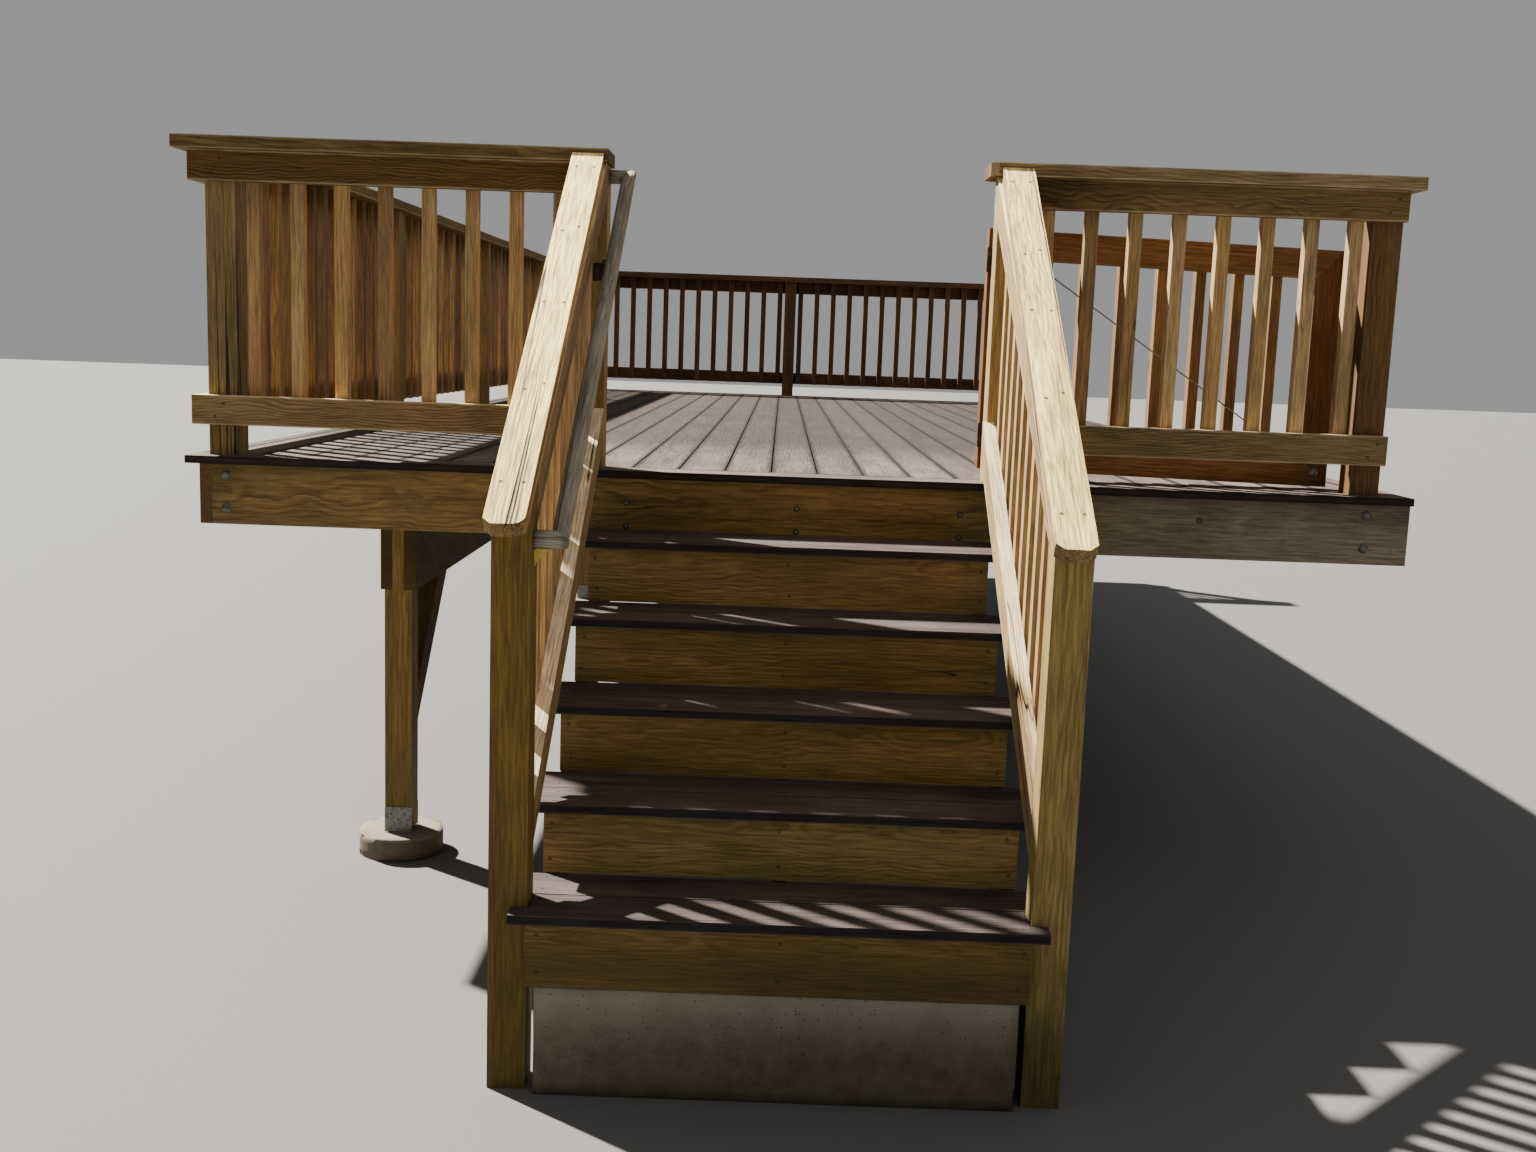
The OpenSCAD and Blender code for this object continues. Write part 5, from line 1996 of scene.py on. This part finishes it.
@dataclass
class Studio:
    """The floor, the light and the camera.

    Attributes:
        floor_z: Level of the floor.
        floor_reach: How far it reaches to each side.
        floor_colour: Its colour.
        lens: Focal length in mm over a frame 36 mm wide.
        eye: Place of the camera.
        tilt: Its yaw, its pitch down and its roll, in radians.
        sun: Direction in which the main light travels.
        sun_strength: Strength of the main light.
        sun_colour: Its colour.
        sun_width: The angle that it fills, in degrees, which softens its shadows.
        sky_strength: Strength of the light from all round.
        sky_colour: Its colour.
    """

    floor_z: float
    floor_reach: float = 60.0
    floor_colour: Rgb = (0.155, 0.153, 0.149)
    lens: float = 35.97
    eye: tuple[float, float, float] = (-1.9045, -8.5833, 0.4976)
    tilt: tuple[float, float, float] = (-0.0047, 0.1481, 0.0354)
    sun: tuple[float, float, float] = (0.85, -0.64, -1.0)
    sun_strength: float = 20.0
    sun_colour: Rgb = (1.0, 0.95, 0.87)
    sun_width: float = 1.2
    sky_strength: float = 0.35
    sky_colour: Rgb = (0.93, 0.93, 0.94)

    def build(self) -> None:
        """Place them all."""
        self.camera()
        self.floor()
        self.light()

    def place(self, name: str, data: bpy.types.ID) -> Thing:
        """Return a new object of the scene.

        Args:
            name: Name of the object.
            data: What it shows.

        Returns:
            The new object.
        """
        obj = bpy.data.objects.new(name, data)
        bpy.context.scene.collection.objects.link(obj)
        return obj

    def camera(self) -> None:
        """Stand the camera where the reference view was taken from."""
        yaw, pitch, roll = self.tilt
        ahead = Vector((math.sin(yaw) * math.cos(pitch), math.cos(yaw) * math.cos(pitch), -math.sin(pitch)))
        right = Vector((math.cos(yaw), -math.sin(yaw), 0.0))
        above = right.cross(ahead)
        across = right * math.cos(roll) + above * math.sin(roll)
        over = above * math.cos(roll) - right * math.sin(roll)
        data = bpy.data.cameras.new("camera")
        data.lens = self.lens
        data.sensor_width = 36.0
        data.clip_end = 200.0
        camera = self.place("camera", data)
        turn = Matrix((across, over, -ahead)).transposed().to_4x4()
        camera.matrix_world = Matrix.Translation(self.eye) @ turn
        bpy.context.scene.camera = camera

    def floor(self) -> None:
        """Lay a plain pale floor under the lowest foot."""
        mesh = bpy.data.meshes.new("floor")
        far = self.floor_reach
        corners = [(-far, -far), (far, -far), (far, far), (-far, far)]
        mesh.from_pydata([(x, y, self.floor_z) for x, y in corners], [], [(0, 1, 2, 3)])
        material = bpy.data.materials.new("floor")
        material.use_nodes = True
        shader = material.node_tree.nodes["Principled BSDF"]
        shader.inputs["Base Color"].default_value = (*self.floor_colour, 1.0)
        shader.inputs["Roughness"].default_value = 0.9
        mesh.materials.append(material)
        self.place("floor", mesh)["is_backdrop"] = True

    def light(self) -> None:
        """Light the deck softly from high behind its free side, with a pale sky all round."""
        world = bpy.data.worlds.new("sky")
        bpy.context.scene.world = world
        world.use_nodes = True
        sky = world.node_tree.nodes["Background"]
        sky.inputs["Color"].default_value = (*self.sky_colour, 1.0)
        sky.inputs["Strength"].default_value = self.sky_strength
        data = bpy.data.lights.new("key", "SUN")
        data.energy = self.sun_strength
        data.angle = math.radians(self.sun_width)
        data.color = self.sun_colour
        key = self.place("key", data)
        key.rotation_mode = "QUATERNION"
        key.rotation_quaternion = Vector(self.sun).to_track_quat("-Z", "Y")


def main() -> None:
    """Build and dress the whole deck around its frame."""
    logging.basicConfig(level=logging.INFO, format="%(message)s", stream=sys.stdout)
    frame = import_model()
    solid_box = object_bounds()
    Studio(floor_z=solid_box[0][2]).build()
    Woodwork(frame).build()
    RoundRail().build()
    RailIrons(frame).build()
    BraceCable(frame).build()
    Fasteners(frame).build()
    Castings(frame).build()
    Dressing(frame).build()


if __name__ == "__main__":
    main()
